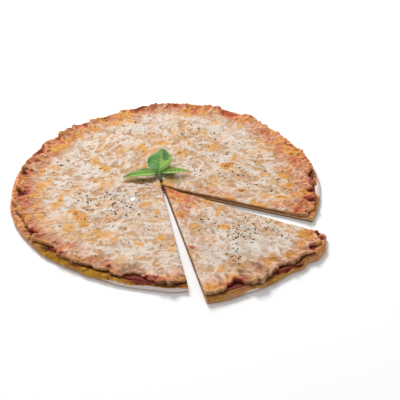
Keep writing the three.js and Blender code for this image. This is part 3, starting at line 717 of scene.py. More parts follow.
class Finish:
    """A material under construction, whose colour is laid on coat by coat."""

    def __init__(self, name, roughness, specular=0.5):
        self.material = bpy.data.materials.new(name)
        self.material.use_nodes = True
        self.tree = self.material.node_tree
        self.shader = self.tree.nodes["Principled BSDF"].inputs
        self.shader["Roughness"].default_value = roughness
        self.shader["Specular IOR Level"].default_value = specular
        self.place = self.node("TexCoord", {}).outputs["Object"]
        self.colour = None

    def join(self, source, socket):
        if isinstance(source, bpy.types.NodeSocket):
            self.tree.links.new(source, socket)
        else:
            socket.default_value = source

    def node(self, kind, sources, **options):
        node = self.tree.nodes.new("ShaderNode" + kind)
        for option, value in options.items():
            setattr(node, option, value)
        for socket, source in sources.items():
            self.join(source, node.inputs[socket])
        return node

    def channels(self, name):
        painted = self.node("Attribute", {}, attribute_name=name)
        return self.node("SeparateColor", {"Color": painted.outputs["Color"]}).outputs

    def grain(self, size_mm, detail=3, distortion=0.0, stretch=(1, 1, 1)):
        mapping = self.node("Mapping", {"Scale": stretch, "Vector": self.place})
        sources = {"Scale": 1000 / size_mm, "Detail": detail, "Roughness": 0.55, "Distortion": distortion}
        return self.node("TexNoise", {"Vector": mapping.outputs["Vector"], **sources}).outputs["Fac"]

    def cells(self, size_mm):
        return self.node("TexVoronoi", {"Scale": 1000 / size_mm, "Vector": self.place}).outputs["Distance"]

    def position(self, axis):
        return self.node("SeparateXYZ", {0: self.place}).outputs[axis]

    def between(self, value, low, high, to_low=0.0, to_high=1.0):
        sources = {"Value": value, "From Min": low, "From Max": high, "To Min": to_low, "To Max": to_high}
        return self.node("MapRange", sources, interpolation_type="SMOOTHSTEP").outputs["Result"]

    def times(self, a, b):
        return self.node("Math", {0: a, 1: b}, operation="MULTIPLY").outputs[0]

    def plus(self, a, b):
        """A sum that stays between 0 and 1."""
        return self.node("Math", {0: a, 1: b}, operation="ADD", use_clamp=True).outputs[0]

    def crumbled(self, value, grain, depth):
        """A value that a grain raises and lowers by that depth, so that its edge breaks up."""
        return self.plus(value, self.between(grain, 0.3, 0.7, -depth, depth))

    def blend(self, amount, under, over):
        """Two colours mixed. Each is a socket, or red, green and blue from 0 to 255."""
        under, over = (linear(c) if isinstance(c, tuple) else c for c in (under, over))
        return self.node("Mix", {"Factor": amount, 6: under, 7: over}, data_type="RGBA").outputs[2]

    def coat(self, amount, over):
        self.colour = self.blend(amount, self.colour, over)

    def relief(self, height, distance_mm, strength):
        bump = self.node("Bump", {"Strength": strength, "Distance": distance_mm * MM, "Height": height})
        self.join(bump.outputs["Normal"], self.shader["Normal"])

    def mixed_relief(self, coarse, share, fine, distance_mm, strength):
        self.relief(self.plus(self.times(coarse, share), self.times(fine, 1 - share)), distance_mm, strength)

    def soak(self, weight, radius, scale):
        """Lets light into the flesh."""
        for name, value in (("Weight", weight), ("Radius", radius), ("Scale", scale)):
            self.shader["Subsurface " + name].default_value = value

    def done(self):
        self.join(self.colour, self.shader["Base Color"])
        return self.material


def cheese_finish():
    """Melted mozzarella: cream with golden and rosy blotches, orange near the rim, stained by tomato and herbs, with
    painted shade in its hollows, on its front rim, under its lip and under the leaves, and one painted highlight.
    """
    f = Finish("melted_cheese", 0.45, 0.22)
    browning_and_lip_shadow, stains_and_painted_light, shreds, rim_shade_and_specks = (f.channels(name) for name in ("browning_and_lip_shadow", "stains_and_painted_light", "shreds", "rim_shade_and_specks"))
    fine, mid, freckle, crumbs = f.grain(2.2, 4), f.grain(6, distortion=0.6), f.grain(1.1, 2), f.grain(3.4, 2)
    height = f.crumbled(shreds[0], fine, 0.25)
    # Darker and yellower in the hollows, paler on the ridges: partly the cheese's own tone, partly painted shade on the
    # relief.
    f.colour = f.blend(f.between(height, 0.0, 0.75), (180, 135, 90), (214, 200, 185))
    f.coat(f.times(stains_and_painted_light[1], f.between(height, 0.1, 0.6, 0.65, 0.95)), (211, 203, 196))
    f.coat(f.times(shreds[1], f.between(mid, 0.3, 0.65, 0.4, 1)), (211, 150, 60))
    f.coat(f.times(shreds[2], f.between(mid, 0.35, 0.7, 1, 0.5)), (212, 142, 100))
    # Orange near the rim, darker in the hollows between the ropes as painted shade.
    orange = f.blend(f.between(height, 0.2, 1.1), (176, 76, 18), (232, 156, 92))
    f.coat(f.times(browning_and_lip_shadow[2], f.between(mid, 0.25, 0.6, 0.8, 1)), orange)
    f.coat(f.between(crumbs, 0.6, 0.7, 0, 0.55), (156, 106, 54))
    # Olive: a haze round the herbs, and the painted shadow under the leaves.
    f.coat(f.times(stains_and_painted_light[2], f.between(fine, 0.4, 0.65, 0.6, 1)), (146, 120, 8))
    toasting = f.plus(browning_and_lip_shadow[0], f.times(browning_and_lip_shadow[0], f.between(fine, 0.3, 0.7, -0.5, 0.3)))
    f.coat(f.between(toasting, 0.0, 0.5, 0, 0.85), (213, 152, 54))
    f.coat(f.between(toasting, 0.3, 0.95, 0, 0.95), (208, 132, 34))
    f.coat(f.between(toasting, 0.9, 1.0, 0, 0.6), (150, 78, 24))
    # Painted shade on the front of the rim, which turns from the light, darkest in the hollows.
    f.coat(rim_shade_and_specks[0], f.blend(f.between(height, 0.1, 0.9), (108, 64, 32), (188, 143, 98)))
    specks = f.grain(2.8, 2)
    f.coat(f.times(rim_shade_and_specks[1], f.between(specks, 0.38, 0.47, 0.8, 0)), (232, 176, 104))
    f.coat(f.times(rim_shade_and_specks[1], f.between(specks, 0.51, 0.59, 0, 0.95)), (156, 64, 38))
    reddening = f.crumbled(stains_and_painted_light[0], fine, 0.12)
    f.coat(f.between(reddening, 0.1, 0.6, 0, 0.85), (196, 98, 60))
    f.coat(f.between(reddening, 0.5, 0.95), (134, 42, 28))
    # Dark brown: scorched spots, and painted shadow under the front lip.
    f.coat(f.between(f.crumbled(browning_and_lip_shadow[1], freckle, 0.15), 0.2, 0.9, 0, 0.9), (80, 38, 22))
    f.coat(f.times(f.between(freckle, 0.6, 0.68), f.between(mid, 0.4, 0.6, 0.15, 0.6)), (112, 82, 58))
    # A painted highlight on one bare pool of cheese.
    f.coat(f.between(stains_and_painted_light[1], 0.88, 1), (250, 249, 247))
    f.join(f.between(mid, 0.3, 0.7, 0.36, 0.6), f.shader["Roughness"])
    f.mixed_relief(fine, 0.7, freckle, 1.1, 0.9)
    f.soak(0.08, (1, 0.55, 0.3), 0.0015)
    return f.done()


def cut_cheese_finish():
    """Cheese where the knife has gone through, with smears of sauce: painted shade turns its cream to tan and brown, as
    the cut faces turn from the light.
    """
    f = Finish("shaded_cut_cheese", 0.5, 0.4)
    fine = f.grain(1.8, stretch=(1, 1, 2.5))
    f.colour = f.blend(f.between(fine, 0.35, 0.65), (190, 146, 98), (140, 92, 52))
    f.relief(fine, 0.5, 0.6)
    return f.done()


def sauce_finish():
    """Baked tomato, darker where it's thick, orange towards the back of the pizza."""
    f = Finish("tomato_sauce", 0.6, 0.15)
    fine, mid = f.grain(2.2, 4), f.grain(8, 2)
    f.colour = f.blend(f.between(fine, 0.35, 0.68), (86, 20, 12), (132, 42, 20))
    f.coat(f.between(mid, 0.5, 0.68), (74, 20, 20))
    f.coat(f.between(f.position("Y"), 0.02, 0.09, 0, 0.8), (186, 84, 50))
    f.relief(fine, 1.0, 0.8)
    return f.done()


def crust_finish():
    """Baked dough: pale floury flank, a crest of baked-on cheese, browned blisters, and painted shade in its creases,
    under the cheese's lip and along its foot.
    """
    f = Finish("baked_dough", 0.8, 0.15)
    baking_and_foot_shadow, flour_sauce_and_shade = f.channels("baking_and_foot_shadow"), f.channels("flour_sauce_and_shade")
    fine, mid, freckle, specks = f.grain(1.8, 4), f.grain(6), f.grain(0.9, 2), f.grain(2.8, 2)
    f.colour = f.blend(f.between(mid, 0.35, 0.65), (208, 162, 130), (184, 132, 92))
    crest = f.blend(f.between(fine, 0.35, 0.65), (192, 112, 60), (228, 164, 118))
    crest = f.blend(f.between(specks, 0.38, 0.47, 0.7, 0), crest, (236, 184, 124))
    f.coat(baking_and_foot_shadow[2], f.blend(f.between(specks, 0.53, 0.62, 0, 0.6), crest, (148, 72, 42)))
    golden = f.blend(f.between(mid, 0.35, 0.65), (168, 110, 24), (208, 154, 48))
    f.coat(f.between(f.crumbled(baking_and_foot_shadow[0], fine, 0.12), 0.15, 0.9), golden)
    # Painted shade in the creases of the rim and under the cheese's lip.
    f.coat(flour_sauce_and_shade[2], (112, 58, 26))
    f.coat(f.between(f.crumbled(flour_sauce_and_shade[1], fine, 0.15), 0.25, 0.85), (106, 28, 20))
    # Scorched places, and a painted shadow along the foot of the crust.
    f.coat(f.between(f.crumbled(baking_and_foot_shadow[1], fine, 0.2), 0.25, 0.9), (70, 38, 22))
    f.coat(f.between(f.crumbled(flour_sauce_and_shade[0], freckle, 0.12), 0.2, 0.85), (226, 208, 200))
    f.mixed_relief(fine, 0.6, freckle, 0.9, 0.8)
    return f.done()


def crumb_finish():
    """The bread inside, open and pale, with a browned underside."""
    f = Finish("bread_crumb", 0.85, 0.2)
    holes = f.between(f.cells(1.7), 0.12, 0.4)
    f.colour = f.blend(holes, (146, 104, 62), (202, 162, 114))
    f.coat(f.between(f.position("Z"), 0.0004, 0.0014, 1, 0), (96, 54, 26))
    f.relief(holes, 0.5, 0.8)
    return f.done()


def leaf_finish():
    """Basil leaf: bright between the veins, paler on them, with painted shade, bluish, on the side that turns from the
    light, and painted light on the right leaf.
    """
    f = Finish("basil_leaf_green", 0.6, 0.12)
    veins, shade = f.channels("veins"), f.channels("shade")
    fine = f.grain(1.6)
    f.colour = f.blend(shade[0], (132, 168, 76), (70, 128, 68))
    f.coat(shade[1], (16, 72, 26))
    # Painted light on the right leaf, lighter towards its tip.
    f.coat(shade[2], (156, 186, 96))
    f.coat(f.times(f.between(fine, 0.4, 0.7), 0.4), (130, 164, 74))
    f.coat(f.times(veins[0], 0.35), (150, 180, 96))
    f.relief(fine, 0.3, 0.5)
    f.soak(0.1, (0.5, 1, 0.3), 0.001)
    return f.done()


def stem_finish():
    """Green near the leaves, woody at the cut end."""
    f = Finish("basil_stem_green", 0.6, 0.25)
    fine = f.grain(1.4, stretch=(3, 1, 1))
    streaks = f.between(fine, 0.35, 0.65)
    f.colour = f.blend(streaks, (38, 36, 14), (70, 62, 22))
    f.coat(f.channels("freshness")[0], f.blend(streaks, (50, 78, 18), (92, 122, 36)))
    f.relief(fine, 0.4, 0.7)
    return f.done()


def herb_finish():
    """Dried herbs: crumbled leaf, from black-green to straw."""
    f = Finish("dried_herb", 0.9, 0.05)
    fine = f.grain(0.7, 2)
    f.colour = f.blend(f.channels("kind")[0], (38, 26, 10), (118, 88, 40))
    f.coat(f.times(f.between(fine, 0.4, 0.7), 0.4), (40, 32, 14))
    f.relief(fine, 0.3, 0.6)
    return f.done()


# ---- The crusts -----------------------------------------------------------------------------------------------


def flush(direction):
    return 0 * direction


def underside(x, y):
    return 0 * x


def make_crust(piece, materials):
    looks = piece.looks
    layer = Layer(
        rings=112, rings_in_roll=12, crowding=2.2, roll=4.0, tuck=2.8, girth=0.42, under_levels=8, under_insets=[]
    )

    def top(x, y):
        climbed = 1 - rising(piece.depth_in(x, y), 7, 14)
        crags = 0.35 * layered_noise(x, y, 7, 71) + 0.15 * noise(x / 2.2, y / 2.2, 72) + 0.7 * STRANDS.read(x, y) - 0.25
        return piece.crust_top(x, y) + climbed * crags

    name = f"{piece.name}_crust"
    block, x, y, share = make_layer(name + "_dressed", piece, layer, flush, underside, top, 3, looks["ribs"])
    depth, direction = piece.depth_in(x, y), piece.direction(x, y)
    along, height = direction * PIZZA_RADIUS, points_of(block)[:, 2] / MM
    front = rising(-y, *looks["dough_front"])
    ribs = rim_ribs(np.arctan2(y - piece.tip[1], x - piece.tip[0]), share)
    ragged = 0.16 * layered_noise(along, 14 * share, 11, 84) + 0.05 * ribs
    outer = 1 - rising(share + ragged, 0.6, 0.8)
    crest = rising(share + ragged, 0.65, 0.95)

    # Stretches that the cheese has left bare and pale. None of them is on the slice.
    skin = nearness(direction, 6, 50) * (1 - rising(depth, 1.5, 3.5))
    thin = 0.8 * nearness(direction, 118, 230) * (1 - rising(depth + 0.8 * ribs, 1.0, 2.4))
    pale = most(skin, thin, 1.3 * nearness(direction, *BARE_EDGE) * (1 - rising(depth, 7, 9.5)))

    baked_flank = 0.45 * front
    if piece is BIG_PIECE:
        baked_flank = front * (1 - 0.3 * outer) * (1 + 0.5 * layered_noise(along, 9 * share, 9, 88))
    golden = 0.1 + 0.3 * layered_noise(x, y, 13, 81) + baked_flank
    golden = golden + 0.5 * rising(layered_noise(x, y, 6, 86), 0.2, 0.7) * crest
    scorch = spots(x, y, looks["scorched"]) * (1 - outer)
    scorch = scorch + 0.4 * rising(layered_noise(along, 14 * share, 8, 82), 0.3, 0.8) * crest
    # The lowest part of the side, under 0.6 mm, is darkened: a painted shadow where the crust sits on the floor.
    scorch = (scorch + 0.7 * rising(0.6 - height, 0, 0.5)) * (1 - pale)

    dusted = 1 - rising(share + ragged - 0.2 * nearness(direction, -95, 45), 0.6, 0.75)
    stretches = most(*[strength * nearness(direction, angle, half) for angle, half, strength in looks["flour"]])
    patchy = rising(layered_noise(along, 0 * x, 16, 83), -0.1, 0.3)
    flour = dusted * (stretches + 0.22 * (1 - front) * patchy) * rising(height, 0.3, 0.9)
    flour = most(flour, 0.75 * pale)

    tomato = spots(x + 3 * layered_noise(along, 14 * share, 5, 87), y, looks["tomato"], 2)
    tomato = tomato * (1 - pale) * rising(share, 0.62, 0.8) * (1 - 0.6 * rising(y, 40, 100))
    # Painted shade in the creases between the ribs, and a painted shadow under the cheese's lip at the front.
    crease_shade = 0.75 * rising(-ribs, 0.15, 0.6) * rising(share, 0.45, 0.65) * (1 - 0.6 * flour)
    darkest = nearness(direction, *looks["darkest"])
    shadow_under_cheese = front * rising(share + 0.5 * ragged, 0.86, 0.96) * (0.35 + 0.65 * darkest)

    crusted = most(crest, 0.9 * nearness(direction, *looks["crusted"])) * (1 - 0.3 * front)
    paint(block, "baking_and_foot_shadow", golden, scorch, crusted)
    paint(block, "flour_sauce_and_shade", flour, tomato, most(crease_shade, 0.9 * shadow_under_cheese))
    serve(block, name, materials, 50, faces_on_cuts(block))


# ---- The sauce ------------------------------------------------------------------------------------------------


def make_sauce(piece, material):
    layer = Layer(
        rings=84, rings_in_roll=5, crowding=2.0, roll=1.2, tuck=0.6, girth=0.5, under_levels=3, under_insets=[6, 12]
    )

    def top(x, y):
        return piece.sauce_top(x, y) + 0.12 * layered_noise(x, y, 4, 91)

    name = f"{piece.name}_sauce"
    block, *_ = make_layer(name + "_dressed", piece, layer, piece.sauce_inset, piece.crust_top, top, 7)
    serve(block, name, [material], 50)


# ---- The cheese -----------------------------------------------------------------------------------------------


def pools(x, y):
    """Where the cheese has melted into smooth milky pools."""
    return rising(layered_noise(x, y, 24, 101), 0.05, 0.5)


def ropes_at_rim(piece, x, y):
    """Ropes of melted cheese that run outwards over the rim, from -1 to 1."""
    return layered_noise(piece.direction(x, y) * PIZZA_RADIUS, 0.35 * piece.depth_in(x, y), 6, 133)


def cheese_relief(piece, x, y):
    """Shreds and grains above the smooth top, and the valleys between the ropes at the rim."""
    depth, far_side = piece.depth_in(x, y), rising(y, 50, 100)
    near_rim = 1 - rising(depth, 8, 34)
    shreds = STRANDS.read(x, y) * (0.85 + 0.8 * near_rim) * (1 - 0.35 * pools(x, y)) * (1 - 0.5 * near_rim * far_side)
    grainy = (0.24 * noise(x / 3.3, y / 3.3, 111) + 0.16 * noise(x / 1.7, y / 1.7, 112)) * (1 + 1.2 * near_rim)
    valleys = 0.8 * rising(-ropes_at_rim(piece, x, y), 0, 0.5) * (1 - rising(depth, 6, 16)) * (1 - far_side)
    return shreds - 0.5 + grainy - valleys


def top_of_cheese(piece, x, y):
    return piece.cheese_top(x, y) + cheese_relief(piece, x, y)


def make_cheese(piece, materials):
    layer = Layer(
        rings=132, rings_in_roll=6, crowding=1.0, roll=2.6, tuck=0.8, girth=0.3, under_levels=3, under_insets=[6, 14]
    )

    def top(x, y):
        worn = 0.5 * np.clip(1 - np.minimum(*piece.to_cuts(x, y)) / 1.3, 0, 1) ** 2
        return top_of_cheese(piece, x, y) - worn - piece.droop(x, y)

    def bottom(x, y):
        direction = piece.direction(x, y)
        low = rising(noise(direction * 17, 4 + 0 * direction, 35), -0.45, 0.1)
        stuck = (1 - rising(piece.depth_in(x, y), 6, 10)) * low
        return mix(piece.sauce_top(x, y) - 0.3, piece.crust_top(x, y) - 0.5, stuck) - piece.droop(x, y)

    name = f"{piece.name}_cheese"
    block, x, y, share = make_layer(name + "_dressed", piece, layer, piece.cheese_inset, bottom, top, 5)
    paint_cheese(block, piece, x, y, share)
    serve(block, name, materials, 50, faces_on_cuts(block))


def paint_cheese(block, piece, x, y, share):
    """Lays out where the cheese is milky, golden, orange, toasted, stained and scorched, and where shade and one
    highlight are painted on it.
    """
    looks = piece.looks
    depth, direction, ropes = piece.depth_in(x, y), piece.direction(x, y), ropes_at_rim(piece, x, y)
    front, wide_front = nearness(direction, *looks["front"]), rising(-np.sin(direction), 0.35, 0.75)
    far_side = rising(y, 60, 110)
    streaks = layered_noise(direction * PIZZA_RADIUS, 0.3 * depth, 5, 131)
    lip = 1 - rising(depth + 1.5 * layered_noise(x, y, 6, 127), 4, 9)
    # Painted shadow under the front lip of the cheese, where it curls down.
    painted_lip_shadow = wide_front * (1 - rising(share, 0.3, 0.75))

    # How strongly each place near the rim has taken the colour of the rim.
    band = 32 + 12 * nearness(direction, 5, 120)
    near_rim = 1 - rising(depth + 9 * layered_noise(x, y, 15, 121), 8, band)
    near_rim = near_rim * (1 - looks["front_fading"] * front) * (0.85 + 0.35 * streaks)
    inner_orange = spots(x, y, looks["orange"], 4)
    orange = most(0.95 * near_rim, inner_orange, 0.9 * lip * (1 - 0.6 * front))

    # Golden and rosy blotches, weaker where milky pools lie.
    streaky = layered_noise(x, y, 11, 122) + 0.35 * layered_noise(x, y, 4, 130)
    richness = 1 + 0.3 * rising(-y, 20, 90) - 0.3 * rising(y, -10, 50)
    if piece is SLICE:
        streaky = mix(streaky, 1.2 * layered_noise(direction * 110, 0.25 * depth, 5, 132), 0.75)
        richness = 0.7
    drifts = 0.6 + 0.4 * rising(layered_noise(x, y, 30, 128), -0.3, 0.3)
    milky = most(0.45 * pools(x, y), spots(x, y, looks["milky"], 5)) * (1 - 0.8 * near_rim)
    blotches = rising(streaky, -0.06, 0.52) * drifts * richness * (1 - looks["milk_cover"] * milky)
    rosy = rising(layered_noise(x, y, 8, 123), 0.05, 0.55) * (1 - 0.5 * milky)

    # Toasted places, and painted shade on the front of the rim, which turns from the light.
    to_first_cut = piece.to_cuts(x, y)[0]
    grilled = rising(layered_noise(x, y, 8, 126), -0.25, 0.5)
    grilled = looks["grilling"] * (1 - rising(to_first_cut, 1, 7)) * grilled
    shaded_side = nearness(direction, 190, 160)
    golden_lip = 0.4 * lip * (1 - 0.8 * wide_front) * (1 - 0.8 * shaded_side) * rising(ropes, -0.3, 0.4)
    golden_rim = 0.5 * near_rim * rising(layered_noise(x, y, 7, 124), 0.1, 0.6)
    toasted = most(spots(x, y, looks["toasted"], 2.2), golden_rim, grilled, golden_lip)
    painted_front_shade = 0.85 * front * (1 - rising(depth + 8 * streaks, 8, 30)) * rising(ropes, -0.45, 0.25)
    painted_front_shade = most(painted_front_shade, 0.9 * wide_front * (1 - rising(depth + 3 * ropes, 5, 11)))
    if piece is SLICE:
        painted_front_shade = most(painted_front_shade, 0.85 * front * (1 - rising(depth, 20, 46)) * rising(streaky, -0.05, 0.25))
    crumbly = 0.3 + 0.7 * nearness(direction, *looks["crumbly"])
    crumbly = crumbly * (1 - rising(depth + 6 * streaks, 10, 30)) * (1 - 0.7 * wide_front)
    # Scorched spots, with the painted shadow under the front lip.
    scorched = most(spots(x, y, looks["scorched"], 1.2) * (1 - 0.5 * far_side), 0.75 * painted_lip_shadow)

    # Stains of tomato and herb oil, and the painted shadow under the leaves.
    broken = 0.55 + 0.65 * rising(layered_noise(x, y, 3.2, 135), -0.4, 0.3)
    tomato = spots(x, y, looks["tomato"], 3) * broken * (1 - 0.35 * far_side)
    tomato = tomato + 0.5 * near_rim * (1 - 0.8 * front) * rising(layered_noise(x, y, 6, 125), 0.2, 0.75)
    herb_haze_and_leaf_shadow = spots(x, y, looks["leaf_shadow"])
    for patch_x, patch_y, spread, count in looks["herbs"]:
        haze = 0.2 * min(1, count / 12) * np.exp(-((x - patch_x) ** 2 + (y - patch_y) ** 2) / spread**2)
        herb_haze_and_leaf_shadow = most(herb_haze_and_leaf_shadow, haze)

    ridges = STRANDS.read(x, y) * (1 - 0.35 * near_rim) + 0.28 * layered_noise(x, y, 13, 129)
    paint(block, "browning_and_lip_shadow", toasted, scorched, orange)
    paint(block, "rim_shade_and_specks", painted_front_shade, most(crumbly, 0.8 * inner_orange))
    # Its second channel holds the milky pools and one painted highlight, its third the herb haze and the painted shadow
    # under the leaves.
    paint(block, "stains_and_painted_light", tomato, most(0.85 * milky, spots(x, y, looks["painted_highlight"], 0.4)), herb_haze_and_leaf_shadow)
    paint(block, "shreds", ridges, 0.85 * blotches, 0.5 * rosy * (0.55 + 0.45 * near_rim))


# ---- Herbs ----------------------------------------------------------------------------------------------------


def inside(piece, x, y, margin, clear_of_edge):
    """Whether a spot is on a piece, that far from its cuts and from its outer edge."""
    first, last = (math.radians(angle) for angle in piece.angles)
    distance = math.hypot(x - piece.tip[0], y - piece.tip[1])
    turn = math.atan2(y - piece.tip[1], x - piece.tip[0]) - first
    turn -= 2 * math.pi * math.floor(turn / (2 * math.pi))
    off_cuts = margin / distance < turn < last - first - margin / distance
    return off_cuts and float(piece.depth_in(np.array(x), np.array(y))) > clear_of_edge


def clear_of_sprig(x, y):
    return math.hypot(x - SPRIG_JOINT[0], (y - SPRIG_JOINT[1] - 6) * 1.3) > 34


def large_flecks(piece):
    """The flecks that the solid cheese carries: (x, y, size, turn)."""
    draw = random_from(HERB_SEED)
    places = []
    for x, y, spread, count in piece.looks["herbs"]:
        for _ in range(count):
            turn = draw() * 2 * math.pi
            distance = spread * math.sqrt(-math.log(1 - 0.95 * draw()))
            places.append((x + distance * math.cos(turn), y + distance * math.sin(turn)))
    free = [(x, y) for x, y in places if inside(piece, x, y, 3, 24) and clear_of_sprig(x, y)]
    flecks = []
    for x, y in free:
        size = mix(0.6, 1, draw())
        flecks.append((x, y, size, draw() * math.pi))
    return flecks


def small_flecks(piece, patches, seed, per_patch, strays):
    """Crumbs of herb, thickest where the large flecks are, and strays all over: (x, y, size, turn)."""
    rng = np.random.default_rng(seed)
    places = []
    for x, y, spread, count in patches:
        for _ in range(int(count * per_patch)):
            turn, distance = rng.uniform(0, 2 * math.pi), 1.25 * spread * math.sqrt(-math.log(1 - 0.97 * rng.random()))
            places.append((x + distance * math.cos(turn), y + distance * math.sin(turn)))
    for _ in range(strays):
        turn, distance = rng.uniform(0, 2 * math.pi), 145 * math.sqrt(rng.random())
        places.append((distance * math.cos(turn), distance * math.sin(turn)))
    sizes = 0.26 + 0.5 * rng.random(len(places)) ** 2.4
    turns = rng.uniform(0, math.pi, len(places))
    return [(x, y, size, turn) for (x, y), size, turn in zip(places, sizes, turns) if inside(piece, x, y, 1, 12)]


def crumb_of_herb():
    """One curled flake of dried herb, of length, width and height 1, as points and triangles."""
    flake = primitive(bpy.ops.mesh.primitive_ico_sphere_add, "flake", subdivisions=1, radius=0.5)
    edit_mode()
    bpy.ops.mesh.select_all(action="SELECT")
    bpy.ops.transform.vertex_random(offset=0.09, seed=4)
    object_mode()
    points, triangles = points_of(flake), read(flake.data.polygons, "vertices", 3, np.int32)
    points[:, 2] += 0.5 * points[:, 0] ** 2
    bpy.data.objects.remove(flake)
    return points, triangles


def scatter_herbs(name, placed, material):
    """One piece that holds every fleck: placed is a list of (piece, flecks)."""
    shape, triangles = crumb_of_herb()
    rng = np.random.default_rng(17)
    points, faces, kinds = [], [], []
    for piece, flecks in placed:
        for x, y, size, turn in flecks:
            height = float(top_of_cheese(piece, np.array(x), np.array(y))) + 0.12
            tilt = Matrix.Rotation(rng.normal(0, 0.25), 3, "X") @ Matrix.Rotation(rng.normal(0, 0.2), 3, "Y")
            turned = np.array(Matrix.Rotation(turn, 3, "Z") @ tilt)
            width = HERB_WIDTH * size * rng.uniform(0.8, 1.5)
            own = shape * (HERB_LENGTH * size * rng.uniform(0.9, 1.25), width, HERB_HEIGHT * size * 0.8)
            own = own * rng.uniform(0.85, 1.1, size=(len(shape), 1))
            faces.append(triangles + len(points) * len(shape))
            points.append(own @ turned.T + (x, y, height))
            kinds.append(np.full(len(shape), rng.random() ** 1.6))
    mesh = bpy.data.meshes.new(name)
    mesh.from_pydata((np.concatenate(points) * MM).tolist(), [], np.concatenate(faces).tolist())
    herbs = bpy.data.objects.new(name, mesh)
    bpy.context.collection.objects.link(herbs)
    paint(herbs, "kind", np.concatenate(kinds))
    mesh.materials.append(material)
    only(herbs)
    bpy.ops.object.shade_smooth()
    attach(herbs, "root")


# ---- The sprig ------------------------------------------------------------------------------------------------


def blade_share(leaf, along):
    """Share of a leaf's full width at a place along it."""
    return np.sin(math.pi * along ** (math.log(0.5) / math.log(leaf["widest"])))


def half_width(leaf, along):
    return np.maximum(0.7, leaf["width"] / 2 * blade_share(leaf, along))


def leaf_surface(leaf, along, side, drop):
    """Where a leaf's upper face lies, from the joint: ahead, to the left and up."""
    rise, bend = math.radians(leaf["rise"]), math.radians(leaf["bend"])
    fold, roll = math.radians(leaf["fold"]), math.radians(leaf["roll"])
    slope = rise - bend * along
    forward = LEAF_START + leaf["length"] * (math.sin(rise) - np.sin(slope)) / bend
    up = leaf["length"] * (np.cos(slope) - math.cos(rise)) / bend
    half = half_width(leaf, along)
    ruffle = 0.05 * leaf["width"] * side * side * np.sin(along * 11 + side * 2) * blade_share(leaf, along)
    across = half * side * math.cos(fold)
    lift = half * np.abs(side) * math.sin(fold) + ruffle - drop
    rolled_across = across * math.cos(roll) - lift * math.sin(roll)
    rolled_lift = across * math.sin(roll) + lift * math.cos(roll)
    return forward - rolled_lift * np.sin(slope), rolled_across, up + rolled_lift * np.cos(slope)


def vein_distances(leaf, along, side):
    """How far a point of the blade is from the midrib and from the nearest side vein, in millimetres."""
    first, spacing = 0.05, 0.16
    from_midrib = np.abs(side) * half_width(leaf, along)
    start = along - 0.55 * from_midrib / leaf["length"]
    nearest = np.round((start - first) / spacing) * spacing + first
    return from_midrib, np.abs(start - nearest) * leaf["length"]


def leaf_shade(name, along, side):
    """How far each point of a leaf has painted shade, deep green and painted light."""
    shaded = (0.35 if name == "basil_leaf_left" else 0) * rising(-side, 0.1, 0.6)
    deep = 0.6 * rising(0.25 - along, 0, 0.25)
    if name == "basil_leaf_back":
        patchy = 0.12 * noise(along * 7, side * 2, 77)
        shaded = rising(side, -0.05, 0.1) * (0.85 + patchy)
        deep = 0.95 * rising(along + patchy, 0.3, 0.55) * rising(-side, -0.1, 0.3) * (1 - rising(-side, 0.6, 1) * 0.6)
    # Painted light lightens the right leaf towards its tip.
    bright = (0.8 if name == "basil_leaf_right" else 0) * rising(along, 0.15, 0.5)
    return shaded, most(deep, 0.6 * rising(0.16 - along, 0, 0.12)), bright


def make_leaf(name, leaf, joint_height, material):
    add_grid = bpy.ops.mesh.primitive_grid_add
    blade = primitive(add_grid, name + "_dressed", x_subdivisions=72, y_subdivisions=28, size=2)
    flat = points_of(blade)
    along, side = (flat[:, 0] + 1) / 2, flat[:, 1]
    from_midrib, from_side_vein = vein_distances(leaf, along, side)
    rounded = blade_share(leaf, np.clip(along, 0.02, 0.98))
    midrib = np.exp(-((from_midrib / 0.55) ** 2))
    side_vein = np.exp(-((from_side_vein / 0.45) ** 2)) * (1 - rising(np.abs(side), 0.75, 1))
    quilting = 0.34 * (1 - np.exp(-((from_side_vein / 1.3) ** 2))) * np.clip(1 - side * side, 0, 1) * rounded
    x, y, z = leaf_surface(leaf, along, side, 0.35 * midrib + 0.22 * side_vein - quilting + 0.1)
    turn = math.radians(leaf["heading"])
    east = SPRIG_JOINT[0] + x * math.cos(turn) - y * math.sin(turn)
    north = SPRIG_JOINT[1] + x * math.sin(turn) + y * math.cos(turn)
    set_points(blade, np.stack([east, north, joint_height + z], axis=1) * MM)
    paint(blade, "veins", most(midrib, 0.6 * side_vein))
    paint(blade, "shade", *leaf_shade(name, along, side))
    solidify = blade.modifiers.new("thickness", "SOLIDIFY")
    solidify.thickness = LEAF_THICKNESS * MM
    solidify.offset = -1
    bpy.ops.object.modifier_apply(modifier="thickness")
    face_outwards(blade)
    serve(blade, name, [material], 60)


